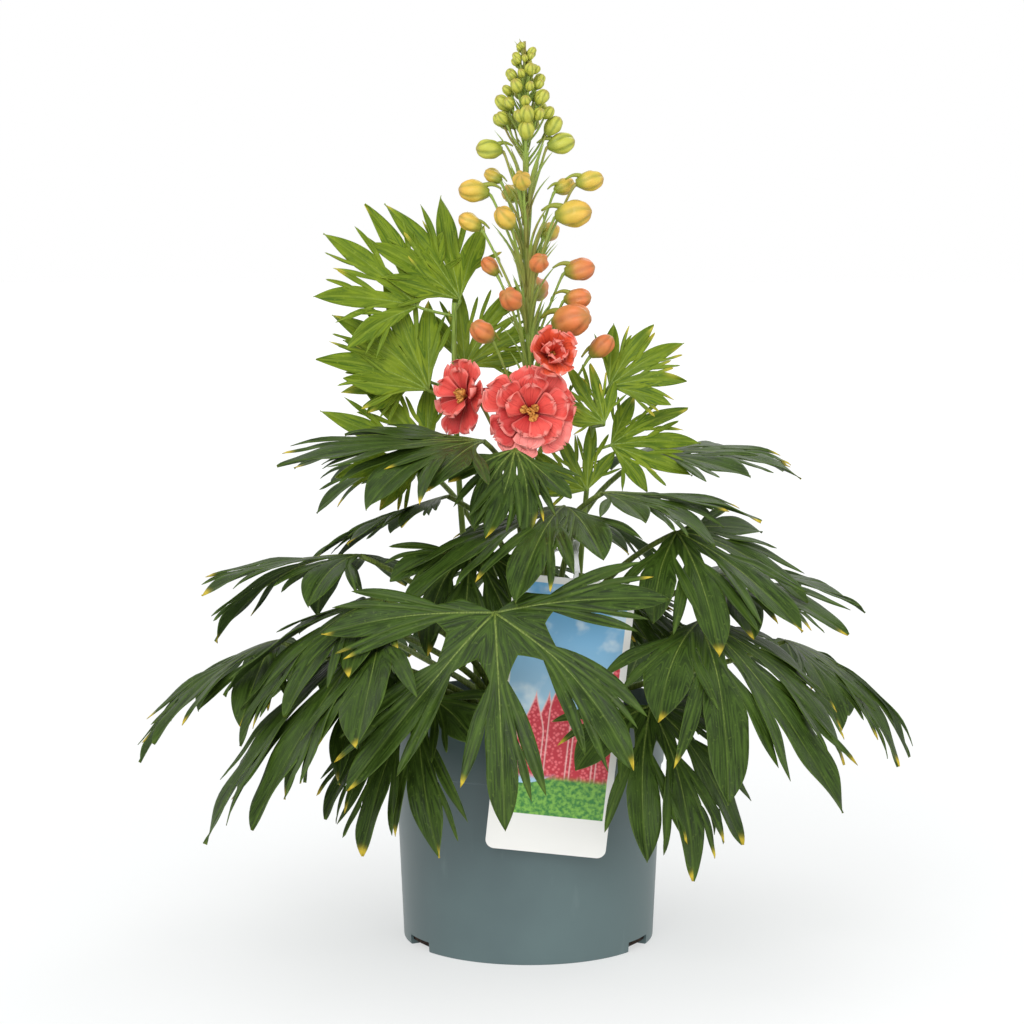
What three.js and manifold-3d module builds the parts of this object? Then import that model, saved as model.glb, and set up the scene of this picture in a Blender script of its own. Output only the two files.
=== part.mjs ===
// A potted delphinium in flower: a straight-sided nursery pot filled with potting soil, a clump of basal
// leaves on long stalks, two leafy side shoots, one flower stem with its raceme of buds and open blooms,
// and a hanging plant label tied to the flower stem.
// Millimetres, +Z up. The origin is the centre of the pot's underside and -Y is the plant's front.
import * as THREE from "three";
import { mergeVertices } from "three/addons/utils/BufferGeometryUtils.js";
import Module from "manifold-3d";

const wasm = await Module();
wasm.setup();

// ---- Driving dimensions -------------------------------------------------------------------------

// The pot: a 3.5 litre, 19 cm nursery pot with a stepped rim band and drainage slots at its foot.
const POT = {
  height: 165,
  footRadius: 87,
  bandHeight: 41,
  radiusUnderBand: 92.6,
  bandStep: 1.4,
  rimRadius: 95.5,
  wall: 1.8,
  floor: 3,
  footChamfer: 1.2,
  sides: 36,
};
const SLOT = { angles: [-150, -30, 30, 150], width: 26, height: 7 };
const DRAIN = { radius: 5, circle: 48, count: 6, sides: 6 };

// The soil ends a little under the rim, and its crumbly top is a sum of low waves.
const SOIL = { top: 149, sides: 18, rings: 2, lump: 1.6, wavelength: 21, holeSides: 4 };

const CLEARANCE = 0.3; // between pieces that touch
const STALK_DEPTH = 12; // how far stalks and stems stand in the soil
const LEAF_HOLE_PLAY = 1.8; // round a leaf's stalk in its hole in the soil
const STEM_HOLE_PLAY = 0.9; // the same round a stem

// Every blade is one arched palmate sheet. sinus is where neighbouring lobes part and notch the same at the
// stalk, as shares of the leaf's size. The rest are the corners of half a lobe and of its tooth: along is a
// share of the lobe's length and across one of the leaf's size.
const BLADE = {
  thickness: 0.8,
  foldReach: 0.09, // how far from its rib a lobe is folded up before it levels off
};
const GROWN_SHAPE = {
  sinus: 0.22,
  notch: 0.16,
  waist: { along: 0.34, across: 0.064 },
  shoulder: { along: 0.57, across: 0.101 },
  taper: { along: 0.8, across: 0.079 },
  spike: { along: 0.76, across: 0.2 },
};
const YOUNG_SHAPE = {
  sinus: 0.24,
  notch: 0.18,
  waist: { along: 0.46, across: 0.078 },
  shoulder: { along: 0.64, across: 0.088 },
  spike: { along: 0.8, across: 0.205 },
};
const STALK = { radius: 2, sides: 4, steps: 3, sunkIn: 7, flare: 1.3, slim: 0.4, tip: 0.4 };
const STALK_LINE = { riseShare: 0.45, arriveShare: 0.4, under: 0.6, endUnder: 0.3 };

// ---- Solids -------------------------------------------------------------------------------------

/** A closed three.js geometry as a manifold solid. */
function solidOf(geometry) {
  const bare = geometry.index ? geometry.toNonIndexed() : geometry.clone();
  bare.deleteAttribute("normal");
  bare.deleteAttribute("uv");
  const merged = mergeVertices(bare, 1e-4);
  return new wasm.Manifold(
    new wasm.Mesh({
      numProp: 3,
      vertProperties: merged.attributes.position.array,
      triVerts: new Uint32Array(merged.index.array),
    }),
  );
}

/** A manifold solid as a three.js geometry. */
function geometryOf(solid) {
  const mesh = solid.getMesh();
  const geometry = new THREE.BufferGeometry();
  geometry.setAttribute("position", new THREE.BufferAttribute(new Float32Array(mesh.vertProperties), 3));
  geometry.setIndex(new THREE.BufferAttribute(new Uint32Array(mesh.triVerts), 1));
  geometry.computeVertexNormals();
  return geometry;
}

const fused = (solids) => solids.reduce((whole, next) => whole.add(next));

/** A sheet of triangles thickened to a closed shell, half of its thickness on either side. */
function shell(points, normals, triangles, thickness) {
  const count = points.length;
  const faces = [];
  const open = new Map();
  for (const [a, b, c] of triangles) {
    faces.push([a, b, c], [c + count, b + count, a + count]);
    for (const [from, to] of [[a, b], [b, c], [c, a]]) {
      if (!open.delete(`${to},${from}`)) open.set(`${from},${to}`, [from, to]);
    }
  }
  for (const [from, to] of open.values()) {
    faces.push([from, from + count, to + count], [from, to + count, to]);
  }
  const skin = (offset) => points.map((p, i) => p.clone().addScaledVector(normals[i], offset));
  return closedGeometry([...skin(thickness / 2), ...skin(-thickness / 2)], faces);
}

/** Corner points and triangles as a geometry. */
function closedGeometry(corners, faces) {
  const geometry = new THREE.BufferGeometry().setFromPoints(corners);
  geometry.setIndex(faces.flat());
  return geometry;
}

/** A round tube along stations of {point, radius}, closed at both ends, kept untwisted. */
function tube(stations, sides) {
  const corners = [];
  const faces = [];
  let across = new THREE.Vector3(0, 1, 0);
  stations.forEach(({ point, radius }, i) => {
    const before = stations[Math.max(i - 1, 0)].point;
    const after = stations[Math.min(i + 1, stations.length - 1)].point;
    const along = after.clone().sub(before).normalize();
    across = across.clone().addScaledVector(along, -across.dot(along)).normalize();
    const third = along.clone().cross(across);
    for (let k = 0; k < sides; k++) {
      const turn = (2 * Math.PI * k) / sides;
      const edge = point.clone().addScaledVector(across, radius * Math.cos(turn));
      corners.push(edge.addScaledVector(third, radius * Math.sin(turn)));
      const next = (k + 1) % sides;
      const row = i * sides;
      if (i === 0) continue;
      faces.push([row - sides + k, row - sides + next, row + next], [row - sides + k, row + next, row + k]);
    }
  });
  const last = (stations.length - 1) * sides;
  for (let k = 1; k < sides - 1; k++) {
    faces.push([0, k + 1, k], [last, last + k, last + k + 1]);
  }
  return solidOf(closedGeometry(corners, faces));
}

/** A draw from 0 to 1 that is always the same for the same two numbers. */
function draw(seed, item) {
  const value = Math.sin(seed * 12.9898 + item * 78.233) * 43758.5453;
  return value - Math.floor(value);
}

const radians = THREE.MathUtils.degToRad;
const vector = (x, y, z) => new THREE.Vector3(x, y, z);

// ---- Leaves -------------------------------------------------------------------------------------

/** The lobes of a leaf: where each one points in the blade, how long it is and how it hangs. */
function lobesOf(leaf) {
  const middle = (leaf.lobes - 1) / 2;
  return Array.from({ length: leaf.lobes }, (_, i) => {
    const out = (i - middle) / middle;
    return {
      angle: radians(out * leaf.spread),
      length: leaf.size * (1 - 0.3 * out * out) * (0.92 + 0.16 * draw(leaf.seed, i)),
      droop: leaf.droop * (0.6 + 0.8 * draw(leaf.seed, i + 20)),
      sweep: 0.5 * (draw(leaf.seed, i + 40) - 0.5),
    };
  });
}

/** The blade's own axes: a along its middle rib, b to its left and n out of its upper face. */
function bladeAxes(leaf) {
  const heading = radians(leaf.turn);
  const pitch = radians(leaf.pitch);
  const roll = radians(leaf.roll);
  const out = vector(Math.cos(heading), Math.sin(heading), 0);
  const side = vector(-Math.sin(heading), Math.cos(heading), 0);
  const up = vector(0, 0, 1);
  const a = out.clone().multiplyScalar(Math.cos(pitch)).addScaledVector(up, Math.sin(pitch));
  const level = out.clone().multiplyScalar(-Math.sin(pitch)).addScaledVector(up, Math.cos(pitch));
  const b = side.clone().multiplyScalar(Math.cos(roll)).addScaledVector(level, Math.sin(roll));
  const n = level.multiplyScalar(Math.cos(roll)).addScaledVector(side, -Math.sin(roll));
  return { a, b, n };
}

/** The droop of the blade at an angle, eased from each lobe to the next. */
function droopAt(lobes, angle) {
  const first = lobes[0];
  const last = lobes[lobes.length - 1];
  if (angle <= first.angle) return first.droop;
  if (angle >= last.angle) return last.droop;
  const i = lobes.findIndex((lobe) => lobe.angle > angle) - 1;
  const share = (angle - lobes[i].angle) / (lobes[i + 1].angle - lobes[i].angle);
  const ease = (1 - Math.cos(Math.PI * share)) / 2;
  return lobes[i].droop * (1 - ease) + lobes[i + 1].droop * ease;
}

/**
 * A rib that leaves the blade's centre at an angle and bends towards the ground, more slowly the closer it
 * is to hanging straight. Gives its point at a length, with the blade's left and upper directions there.
 */
function ribAt(blade, angle, length) {
  const { a, b, n } = blade.axes;
  const start = a.clone().multiplyScalar(Math.cos(angle)).addScaledVector(b, Math.sin(angle));
  const left = b.clone().multiplyScalar(Math.cos(angle)).addScaledVector(a, -Math.sin(angle));
  const fall = Math.acos(THREE.MathUtils.clamp(-start.z, -0.999, 0.999));
  const down = vector(0, 0, -1).addScaledVector(start, start.z).normalize();
  const bend = (distance) => fall * (1 - Math.exp((-droopAt(blade.lobes, angle) * distance) / fall));
  const point = blade.centre.clone();
  const steps = 12;
  for (let i = 0; i < steps; i++) {
    const turned = bend((length * (i + 0.5)) / steps);
    point.addScaledVector(start, (Math.cos(turned) * length) / steps);
    point.addScaledVector(down, (Math.sin(turned) * length) / steps);
  }
  const axis = start.clone().cross(down);
  const turned = bend(length);
  return { point, left: left.applyAxisAngle(axis, turned), up: n.clone().applyAxisAngle(axis, turned) };
}

/** A point of the blade, along a lobe's rib and across it: fanned out near the stalk, a strip beyond. */
function onBlade(blade, lobe, along, across) {
  const distance = Math.hypot(along, across);
  const sinus = blade.shape.sinus * blade.size;
  const strip = THREE.MathUtils.smoothstep(distance, sinus, 2.2 * sinus);
  const fan = ribAt(blade, lobe.angle + Math.atan2(across, along), distance);
  const rib = ribAt(blade, lobe.angle, along);
  const beyond = Math.max(0, along - sinus);
  const offset = across + (lobe.sweep * beyond * beyond) / blade.size;
  const edge = rib.point.clone().addScaledVector(rib.left, offset);
  const wide = BLADE.foldReach * blade.size;
  edge.addScaledVector(rib.up, blade.fold * wide * Math.tanh(Math.abs(across) / wide));
  const normal = fan.up.clone().lerp(rib.up, strip).normalize();
  return { point: fan.point.lerp(edge, strip), normal };
}

/** The blade as one arched sheet: lobes parted at their sinuses, each with a tooth on either side. */
function bladeSolid(leaf, centre) {
  const lobes = lobesOf(leaf);
  const { size, fold, shape } = leaf;
  const blade = { centre, axes: bladeAxes(leaf), lobes, size, fold, shape };
  const points = [centre.clone()];
  const normals = [blade.axes.n.clone()];
  const triangles = [];
  const put = (lobe, along, across) => {
    const { point, normal } = onBlade(blade, lobe, along, across);
    normals.push(normal);
    return points.push(point) - 1;
  };
  const half = (lobes[1].angle - lobes[0].angle) / 2;
  const rim = (lobe, side, radius) => {
    const angle = side * half;
    return put(lobe, radius * Math.cos(angle), radius * Math.sin(angle));
  };
  let right = rim(lobes[0], -1, shape.notch * size);
  lobes.forEach((lobe, i) => {
    const last = i === lobes.length - 1;
    const left = rim(lobe, 1, (last ? shape.notch : shape.sinus) * size);
    const root = put(lobe, shape.sinus * size * Math.cos(half), 0);
    triangles.push([0, right, root], [0, root, left]);
    triangles.push(...lobeTriangles(lobe, leaf, put, right, root, left));
    right = left;
  });
  return solidOf(shell(points, normals, triangles, BLADE.thickness));
}

/** One lobe from its root row out to its tip, with rows at its waist, shoulder and taper. */
function lobeTriangles(lobe, leaf, put, right, root, left) {
  const triangles = [];
  const { shape } = leaf;
  const breadth = leaf.width * leaf.size;
  const row = ({ along, across }) =>
    [-1, 0, 1].map((side) => put(lobe, along * lobe.length, side * across * breadth));
  let before = [right, root, left];
  const rows = [shape.waist, shape.shoulder, shape.taper].slice(0, leaf.rows).map(row);
  for (const next of rows) {
    for (const k of [0, 1]) {
      triangles.push([before[k], next[k], next[k + 1]], [before[k], next[k + 1], before[k + 1]]);
    }
    before = next;
  }
  const tip = put(lobe, lobe.length, 0);
  triangles.push([before[0], tip, before[1]], [before[1], tip, before[2]]);
  for (const side of [-1, 1]) {
    const [waist, shoulder] = [rows[0][side + 1], rows[1][side + 1]];
    const spike = put(lobe, shape.spike.along * lobe.length, side * shape.spike.across * breadth);
    triangles.push(side < 0 ? [waist, spike, shoulder] : [waist, shoulder, spike]);
  }
  return triangles;
}

/** The line of a stalk from the soil up to the blade's centre, and on under its middle rib. */
function stalkCurve(leaf, centre) {
  const axes = bladeAxes(leaf);
  const rise = radians(leaf.arrive);
  const arrive = vector(Math.cos(rise), 0, Math.sin(rise));
  const reach = centre.length();
  return {
    curve: new THREE.CubicBezierCurve3(
      vector(0, 0, 0),
      vector(0.01 * reach, 0, STALK_LINE.riseShare * centre.z),
      centre.clone().addScaledVector(arrive, -STALK_LINE.arriveShare * reach),
      centre.clone().addScaledVector(axes.n, -STALK_LINE.under * STALK.radius),
    ),
    end: centre
      .clone()
      .addScaledVector(axes.a, STALK.sunkIn)
      .addScaledVector(axes.n, -STALK_LINE.endUnder * STALK.radius),
  };
}

function stalkSolid(leaf, centre) {
  const { curve, end } = stalkCurve(leaf, centre);
  const stations = [{ point: vector(0, 0, -STALK_DEPTH), radius: STALK.radius * STALK.flare }];
  for (let i = 0; i <= STALK.steps; i++) {
    const share = i / STALK.steps;
    const radius = STALK.radius * (STALK.flare - STALK.slim * share);
    stations.push({ point: curve.getPoint(share), radius });
  }
  stations.push({ point: end, radius: STALK.radius * STALK.tip });
  return tube(stations, STALK.sides);
}

/** A whole basal leaf in its own frame: its stalk leaves the soil at the origin and leans towards +X. */
function basalLeaf(leaf) {
  const centre = vector(leaf.reach, 0, leaf.rise);
  return stalkSolid(leaf, centre).add(bladeSolid(leaf, centre));
}

// The clump's leaves. azimuth: where the leaf leans, -90 being the front; root: how far its stalk stands
// from the pot's axis; reach and rise: its blade's centre from there; turn, pitch and roll: how the blade
// faces; spread: the angle from its middle lobe to its outermost one; droop: its ribs' bend per millimetre.
const LEAF_COLUMNS = [
  "azimuth", "root", "reach", "rise", "turn", "pitch", "roll", "spread", "size", "droop",
];
const CLUMP = {
  front_1: [-98, 29, 133, 102, 14, -55, 11, 98, 152, 0.003],
  front_2: [-129, 33, 118, 87, -40, -33, 1, 72, 187, 0.004],
  front_3: [-126, 40, 84, 40, -10, -45, 5, 80, 119, 0.01],
  front_4: [-71, 19, 52, 160, -70, -6, 2, 68, 131, 0.0085],
  front_5: [-115, 20, 71, 134, 19, -42, -10, 72, 87, 0.012],
  front_6: [-98, 20, 47, 198, -3, -32, -8, 51, 74, 0.009],
  right_1: [-42, 30, 120, 87, 0, -21, -2, 70, 158, 0.011],
  right_2: [-56, 40, 102, 34, 6, -46, 0, 84, 118, 0.012],
  right_3: [1, 32, 146, 58, 8, -12, 0, 72, 132, 0.012],
  right_4: [-13, 20, 108, 108, 25, 5, 4, 83, 122, 0.01],
  right_5: [15, 17, 70, 186, 16, 14, 1, 72, 116, 0.006],
  right_6: [-46, 25, 46, 103, -14, -10, -1, 60, 82, 0.012],
  right_7: [-35, 20, 100, 143, 2, -18, 16, 71, 119, 0.008],
  right_8: [-45, 8, 61, 167, 36, 3, 0, 60, 106, 0.0065],
  left_1: [-173, 30, 143, 62, -16, -12, 0, 85, 133, 0.012],
  left_2: [-153, 20, 107, 126, -47, 2, 5, 84, 124, 0.0085],
  left_3: [-118, 12, 52, 203, -36, 3, -7, 42, 146, 0.0035],
  left_4: [-135, 29, 106, 102, -32, -12, 0, 62, 132, 0.009],
  left_5: [-146, 34, 84, 56, -16, -30, 2, 73, 117, 0.012],
  left_6: [-160, 7, 52, 162, -12, -13, 9, 58, 103, 0.0055],
  back_1: [92, 32, 118, 92, 0, -18, 0, 116, 128, 0.012],
  back_2: [136, 32, 126, 52, 0, -20, 0, 116, 128, 0.012],
  back_3: [48, 32, 126, 52, 18, -20, 0, 94, 128, 0.012],
  back_4: [80, 18, 80, 138, 0, 0, 0, 116, 110, 0.012],
  back_5: [140, 16, 86, 176, -1, 4, -3, 116, 98, 0.009],
};
const GROWN = { shape: GROWN_SHAPE, lobes: 5, width: 1, rows: 2, fold: 0.16, arrive: 25 };
const SLIM_LOBED = { front_1: { width: 0.66 } }; // the leaf before the label
const FULLEST = ["front_2"]; // whose lobes have one more row

const clump = Object.entries(CLUMP).map(([key, row], i) => {
  const given = Object.fromEntries(row.map((value, k) => [LEAF_COLUMNS[k], value]));
  const rows = FULLEST.includes(key) ? 3 : GROWN.rows;
  return { ...GROWN, ...SLIM_LOBED[key], ...given, rows, seed: i + 1, name: `leaf_${key}` };
});

// ---- Leafy side shoots --------------------------------------------------------------------------

// A shoot is a bent stem with young leaves. at: how far up the stem a leaf stands; azimuth, reach and rise:
// where its blade's centre is from there; the rest as for the clump.
const SHOOTS = [
  {
    name: "shoot_left",
    stem: [
      [-34, 14, -STALK_DEPTH],
      [-34, 14, 10],
      [-40, 14, 70],
      [-47, 10, 150],
      [-51, 3, 240],
      [-51, -2, 292],
    ],
    radius: 2.6,
    leaves: [
      { at: 0.99, azimuth: 190, reach: 25, rise: 7, pitch: 45, roll: -72, spread: 64, size: 82 },
      { at: 0.8, azimuth: -142, reach: 22, rise: 6, turn: 180, pitch: 50, roll: -74, spread: 40, size: 86 },
      { at: 0.82, azimuth: 170, reach: 24, rise: 8, turn: 180, pitch: 14, roll: -68, spread: 44, size: 64 },
      { at: 0.66, azimuth: -155, reach: 22, rise: 4, turn: 182, pitch: 24, roll: -70, spread: 66, size: 78 },
      { at: 1, azimuth: 60, reach: 8, rise: 8, turn: 175, pitch: 60, roll: -58, spread: 44, size: 84 },
      { at: 0.85, azimuth: 60, reach: 14, rise: 6, turn: 14, pitch: 66, roll: 74, spread: 54, size: 64 },
    ],
  },
  {
    name: "shoot_right",
    stem: [
      [28, 4, -STALK_DEPTH],
      [28, 4, 10],
      [33, 4, 70],
      [38, 2, 140],
      [46, -2, 228],
    ],
    radius: 2.4,
    leaves: [
      { at: 1, azimuth: -20, reach: 10, rise: 12, turn: 4, pitch: 38, roll: 70, spread: 50, size: 62 },
      { at: 0.93, azimuth: -70, reach: 22, rise: 4, turn: 176, pitch: 56, roll: -62, spread: 50, size: 46 },
      { at: 0.86, azimuth: 5, reach: 14, rise: 4, pitch: 8, roll: 56, spread: 60, size: 66 },
      { at: 0.74, azimuth: -90, reach: 14, rise: 2, turn: 176, pitch: 64, roll: -66, spread: 60, size: 52 },
    ],
  },
];
const YOUNG = {
  shape: YOUNG_SHAPE,
  lobes: 5,
  width: 1,
  rows: 2,
  spread: 56,
  fold: 0.1,
  droop: 0.004,
};
const YOUNG_STALK = { radius: 1.1, tip: 0.45, sides: 4, sunkIn: 0.12, bow: 0.12 };
const SHOOT = { steps: 7, sides: 6, slim: 0.35, topLeaf: 0.98 };

/** A young leaf's short stalk, bowed outwards and on under the blade's middle rib. */
function youngStalkSolid(leaf, from, centre, out) {
  const { radius, tip, sides, sunkIn, bow } = YOUNG_STALK;
  const axes = bladeAxes(leaf);
  const middle = from.clone().lerp(centre, 0.5).addScaledVector(out, bow * leaf.reach);
  const under = centre.clone().addScaledVector(axes.n, -0.5 * radius);
  const stations = [from, middle, under].map((point) => ({ point, radius }));
  stations.push({ point: centre.clone().addScaledVector(axes.a, sunkIn * leaf.size), radius: tip * radius });
  return tube(stations, sides);
}

function shootSolid(shoot, number) {
  const spine = new THREE.CatmullRomCurve3(shoot.stem.map((p) => vector(...p)));
  const stations = Array.from({ length: SHOOT.steps + 1 }, (_, i) => ({
    point: spine.getPointAt(i / SHOOT.steps),
    radius: shoot.radius * (1 - (SHOOT.slim * i) / SHOOT.steps),
  }));
  const parts = [tube(stations, SHOOT.sides)];
  shoot.leaves.forEach((given, i) => {
    const heading = radians(given.azimuth);
    const from = spine.getPointAt(given.at * SHOOT.topLeaf);
    const out = vector(Math.cos(heading), Math.sin(heading), 0);
    const centre = from.clone().addScaledVector(out, given.reach);
    centre.z += given.rise;
    const leaf = { ...YOUNG, turn: given.azimuth, roll: 0, seed: 40 * (number + 1) + i, ...given };
    parts.push(youngStalkSolid(leaf, from, centre, out));
    parts.push(bladeSolid(leaf, centre));
  });
  return fused(parts);
}

// ---- Raceme -------------------------------------------------------------------------------------

const STEM = {
  points: [
    [2, 0, -STALK_DEPTH],
    [2, 0, 12],
    [2, -2, 110],
    [0, -8, 260],
    [-3, -18, 400],
    [-3, -20, 468],
  ],
  length: 468,
  radius: 4,
  tipRadius: 0.9,
  sides: 6,
  steps: 8,
};
// The buds on long stalks. height: above the soil; azimuth and reach: where the bud's middle stands from
// the stem; size: its length; lift: how steeply it points up.
const BUDS = [
  { height: 263, azimuth: -8, reach: 50, size: 20, lift: 40 },
  { height: 296, azimuth: -20, reach: 36, size: 19, lift: 5 },
  { height: 282, azimuth: -40, reach: 38, size: 30, lift: 12 },
  { height: 274, azimuth: -141, reach: 40, size: 20, lift: 35 },
  { height: 296, azimuth: -112, reach: 30, size: 21, lift: 25 },
  { height: 320, azimuth: -72, reach: 25, size: 18, lift: 25 },
  { height: 315, azimuth: 5, reach: 36, size: 21, lift: 10 },
  { height: 317, azimuth: 165, reach: 26, size: 15, lift: 50 },
  { height: 300, azimuth: 80, reach: 38, size: 22, lift: 20 },
  { height: 350, azimuth: -130, reach: 22, size: 19, lift: 45 },
  { height: 347, azimuth: 183, reach: 38, size: 17, lift: 30 },
  { height: 353, azimuth: -12, reach: 33, size: 25, lift: 8 },
  { height: 375, azimuth: 5, reach: 44, size: 19, lift: 10 },
  { height: 371, azimuth: 30, reach: 31, size: 16, lift: 20 },
  { height: 340, azimuth: 60, reach: 32, size: 18, lift: 20 },
  { height: 368, azimuth: 176, reach: 35, size: 21, lift: 8 },
  { height: 375, azimuth: -97, reach: 18, size: 17, lift: 30 },
  { height: 378, azimuth: 150, reach: 25, size: 14, lift: 30 },
  { height: 366, azimuth: 110, reach: 28, size: 17, lift: 20 },
  { height: 396, azimuth: 184, reach: 24, size: 18, lift: 5 },
  { height: 400, azimuth: 8, reach: 25, size: 19, lift: 12 },
  { height: 409, azimuth: -85, reach: 13, size: 15, lift: 60 },
];
// The tip's unripe buds stand round the stem by the golden angle, closer and smaller towards the top.
const TIP_BUDS = { count: 15, from: 410, to: 464, reach: 18, topReach: 3, size: 15, topSize: 7, lift: 50 };
const TIP_BUD = { sides: 4, stalk: 0.8, drop: 0.8, length: 0.6, point: 0.1 };
const GOLDEN_ANGLE = 137.5;
const PEDICEL = { radius: 1, sides: 4, drop: 26, dropPerReach: 1.35, knee: 0.62, kneeRise: 0.1 };
const BLOOM_PEDICEL = { radius: 1.3, straight: 4 };
const BUD_PROFILE = [
  { along: 0, radius: 0.35 },
  { along: 0.34, radius: 0.98 },
  { along: 0.68, radius: 0.9 },
  { along: 1, radius: 0.25 },
];
const BUD_ROUNDNESS = 0.37; // a bud's radius as a share of its length

const stemCurve = new THREE.CatmullRomCurve3(STEM.points.map((p) => vector(...p)));

/** The flower stem's centre at a height above the soil. */
function stemAt(height) {
  const low = STEM.points[0][2];
  const high = STEM.points[STEM.points.length - 1][2];
  let share = (height - low) / (high - low);
  for (let i = 0; i < 6; i++) {
    share += (height - stemCurve.getPoint(THREE.MathUtils.clamp(share, 0, 1)).z) / (high - low);
  }
  return stemCurve.getPoint(THREE.MathUtils.clamp(share, 0, 1));
}

/** The flower stem's radius at a height above the soil. */
function stemRadius(height) {
  return THREE.MathUtils.mapLinear(height, 0, STEM.length, STEM.radius, STEM.tipRadius);
}

/** A direction from an azimuth round the plant and a lift above the horizon. */
function bearing(azimuth, lift) {
  const flat = Math.cos(radians(lift));
  const turn = radians(azimuth);
  return vector(flat * Math.cos(turn), flat * Math.sin(turn), Math.sin(radians(lift)));
}

/** The line of a flower stalk: steeply up beside the stem, then out to its end, which it meets head on. */
function pedicelPoints(end, reach) {
  const foot = stemAt(end.z - PEDICEL.drop - PEDICEL.dropPerReach * reach);
  const knee = foot.clone().lerp(end, PEDICEL.knee).add(vector(0, 0, PEDICEL.kneeRise * reach));
  return [foot, knee, end];
}

function budSolid({ height, azimuth, reach, size, lift }) {
  const direction = bearing(azimuth, lift);
  const middle = stemAt(height).add(bearing(azimuth, 0).multiplyScalar(reach));
  const base = middle.clone().addScaledVector(direction, -size / 2);
  const line = pedicelPoints(base, reach - (size / 2) * Math.cos(radians(lift)));
  const stations = line.slice(0, 2).map((point) => ({ point, radius: PEDICEL.radius }));
  for (const { along, radius } of BUD_PROFILE) {
    const point = base.clone().addScaledVector(direction, along * size);
    stations.push({ point, radius: radius * BUD_ROUNDNESS * size });
  }
  return tube(stations, PEDICEL.sides);
}

function tipBudSolid(i) {
  const share = i / (TIP_BUDS.count - 1);
  const height = TIP_BUDS.from + (TIP_BUDS.to - TIP_BUDS.from) * share;
  const size = TIP_BUDS.size + (TIP_BUDS.topSize - TIP_BUDS.size) * share;
  const reach = TIP_BUDS.reach + (TIP_BUDS.topReach - TIP_BUDS.reach) * share;
  const direction = bearing(i * GOLDEN_ANGLE, TIP_BUDS.lift);
  const middle = stemAt(height).add(bearing(i * GOLDEN_ANGLE, 0).multiplyScalar(reach));
  const tip = middle.clone().addScaledVector(direction, TIP_BUD.length * size);
  const stations = [
    { point: stemAt(height - size - TIP_BUD.drop * reach), radius: PEDICEL.radius * TIP_BUD.stalk },
    { point: middle, radius: BUD_ROUNDNESS * size },
    { point: tip, radius: TIP_BUD.point * size },
  ];
  return tube(stations, TIP_BUD.sides);
}

// ---- Blooms -------------------------------------------------------------------------------------

// An open bloom in its own frame: +Z is where it looks and the origin is the middle of its back.
const OUTER = { count: 6, length: 33, width: 13.5, tilt: 12, turn: 0 };
const LESSER = { count: 6, length: 27, width: 11, tilt: 18, turn: 10 };
const INNER = { count: 5, length: 23, width: 9, tilt: 40, turn: 20 };
const FURLED = { count: 5, length: 25, width: 9.5, tilt: 52, turn: 0 };
const BLOOMS = {
  bloom_front: { height: 220, azimuth: -90, reach: 36, facing: -88, lift: 8, petals: [OUTER, INNER] },
  bloom_left: { height: 228, azimuth: -165, reach: 40, facing: -135, lift: 12, petals: [LESSER, INNER] },
  bloom_opening: { height: 257, azimuth: -66, reach: 31, facing: -78, lift: 18, petals: [FURLED] },
};
const PETAL = { base: 0.06, belly: 0.55, shoulder: 0.84, thickness: 0.8, ruffle: 1.6 };
const PETAL_WIDTHS = { base: 0.08, belly: 0.62, shoulder: 1 };
const CUP = { radius: 5, back: 1.6, depth: 6, eye: 3.4, eyeHeight: 7, eyeTip: 1.7, sides: 6 };
const SPUR = { length: 14, radius: 2, above: 3.8, rise: 5, sides: 5 };
const LAYER = { first: 3.3, step: 2.2 }; // how high in the cup each layer of petals starts

function petalSolid({ length, width, tilt }, azimuth, seed) {
  const out = bearing(azimuth, tilt);
  const side = bearing(azimuth + 90, 0);
  const face = out.clone().cross(side);
  const spot = (along, across, wave) => {
    const point = out.clone().multiplyScalar(along * length).addScaledVector(side, across * width);
    return point.addScaledVector(face, wave);
  };
  const wave = (item) => PETAL.ruffle * (draw(seed, item) - 0.5) * 2;
  const points = [
    spot(PETAL.base, -PETAL_WIDTHS.base, 0),
    spot(PETAL.base, PETAL_WIDTHS.base, 0),
    spot(PETAL.belly, -PETAL_WIDTHS.belly, wave(1)),
    spot(PETAL.belly, PETAL_WIDTHS.belly, wave(2)),
    spot(PETAL.shoulder, -PETAL_WIDTHS.shoulder, wave(3)),
    spot(PETAL.shoulder, PETAL_WIDTHS.shoulder, wave(4)),
    spot(1, 0, wave(5)),
  ];
  const normals = points.map(() => face.clone());
  const triangles = [[0, 2, 1], [1, 2, 3], [2, 4, 3], [3, 4, 5], [4, 6, 5]];
  return solidOf(shell(points, normals, triangles, PETAL.thickness));
}

/** A bloom at its true size, looking along +Z, with its spur behind and its cup's back at the origin. */
function bloomSolid({ petals }) {
  const parts = [
    tube(
      [
        { point: vector(0, 0, 0), radius: CUP.back },
        { point: vector(0, 0, 0.5 * CUP.depth), radius: CUP.radius },
        { point: vector(0, 0, CUP.depth), radius: CUP.eye },
        { point: vector(0, 0, CUP.depth + CUP.eyeHeight), radius: CUP.eyeTip },
      ],
      CUP.sides,
    ),
    tube(
      [
        { point: vector(0, SPUR.above, 0.6 * CUP.depth), radius: SPUR.radius },
        { point: vector(0, SPUR.above + 0.5 * SPUR.rise, -0.4 * SPUR.length), radius: 0.8 * SPUR.radius },
        { point: vector(0, SPUR.above + SPUR.rise, -SPUR.length), radius: 0.4 * SPUR.radius },
      ],
      SPUR.sides,
    ),
  ];
  petals.forEach((layer, row) => {
    for (let i = 0; i < layer.count; i++) {
      const azimuth = layer.turn + (360 * i) / layer.count;
      const petal = petalSolid(layer, azimuth, 10 * row + i);
      parts.push(petal.translate([0, 0, LAYER.first + LAYER.step * row]));
    }
  });
  return fused(parts);
}

// ---- Pot and soil -------------------------------------------------------------------------------

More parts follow.
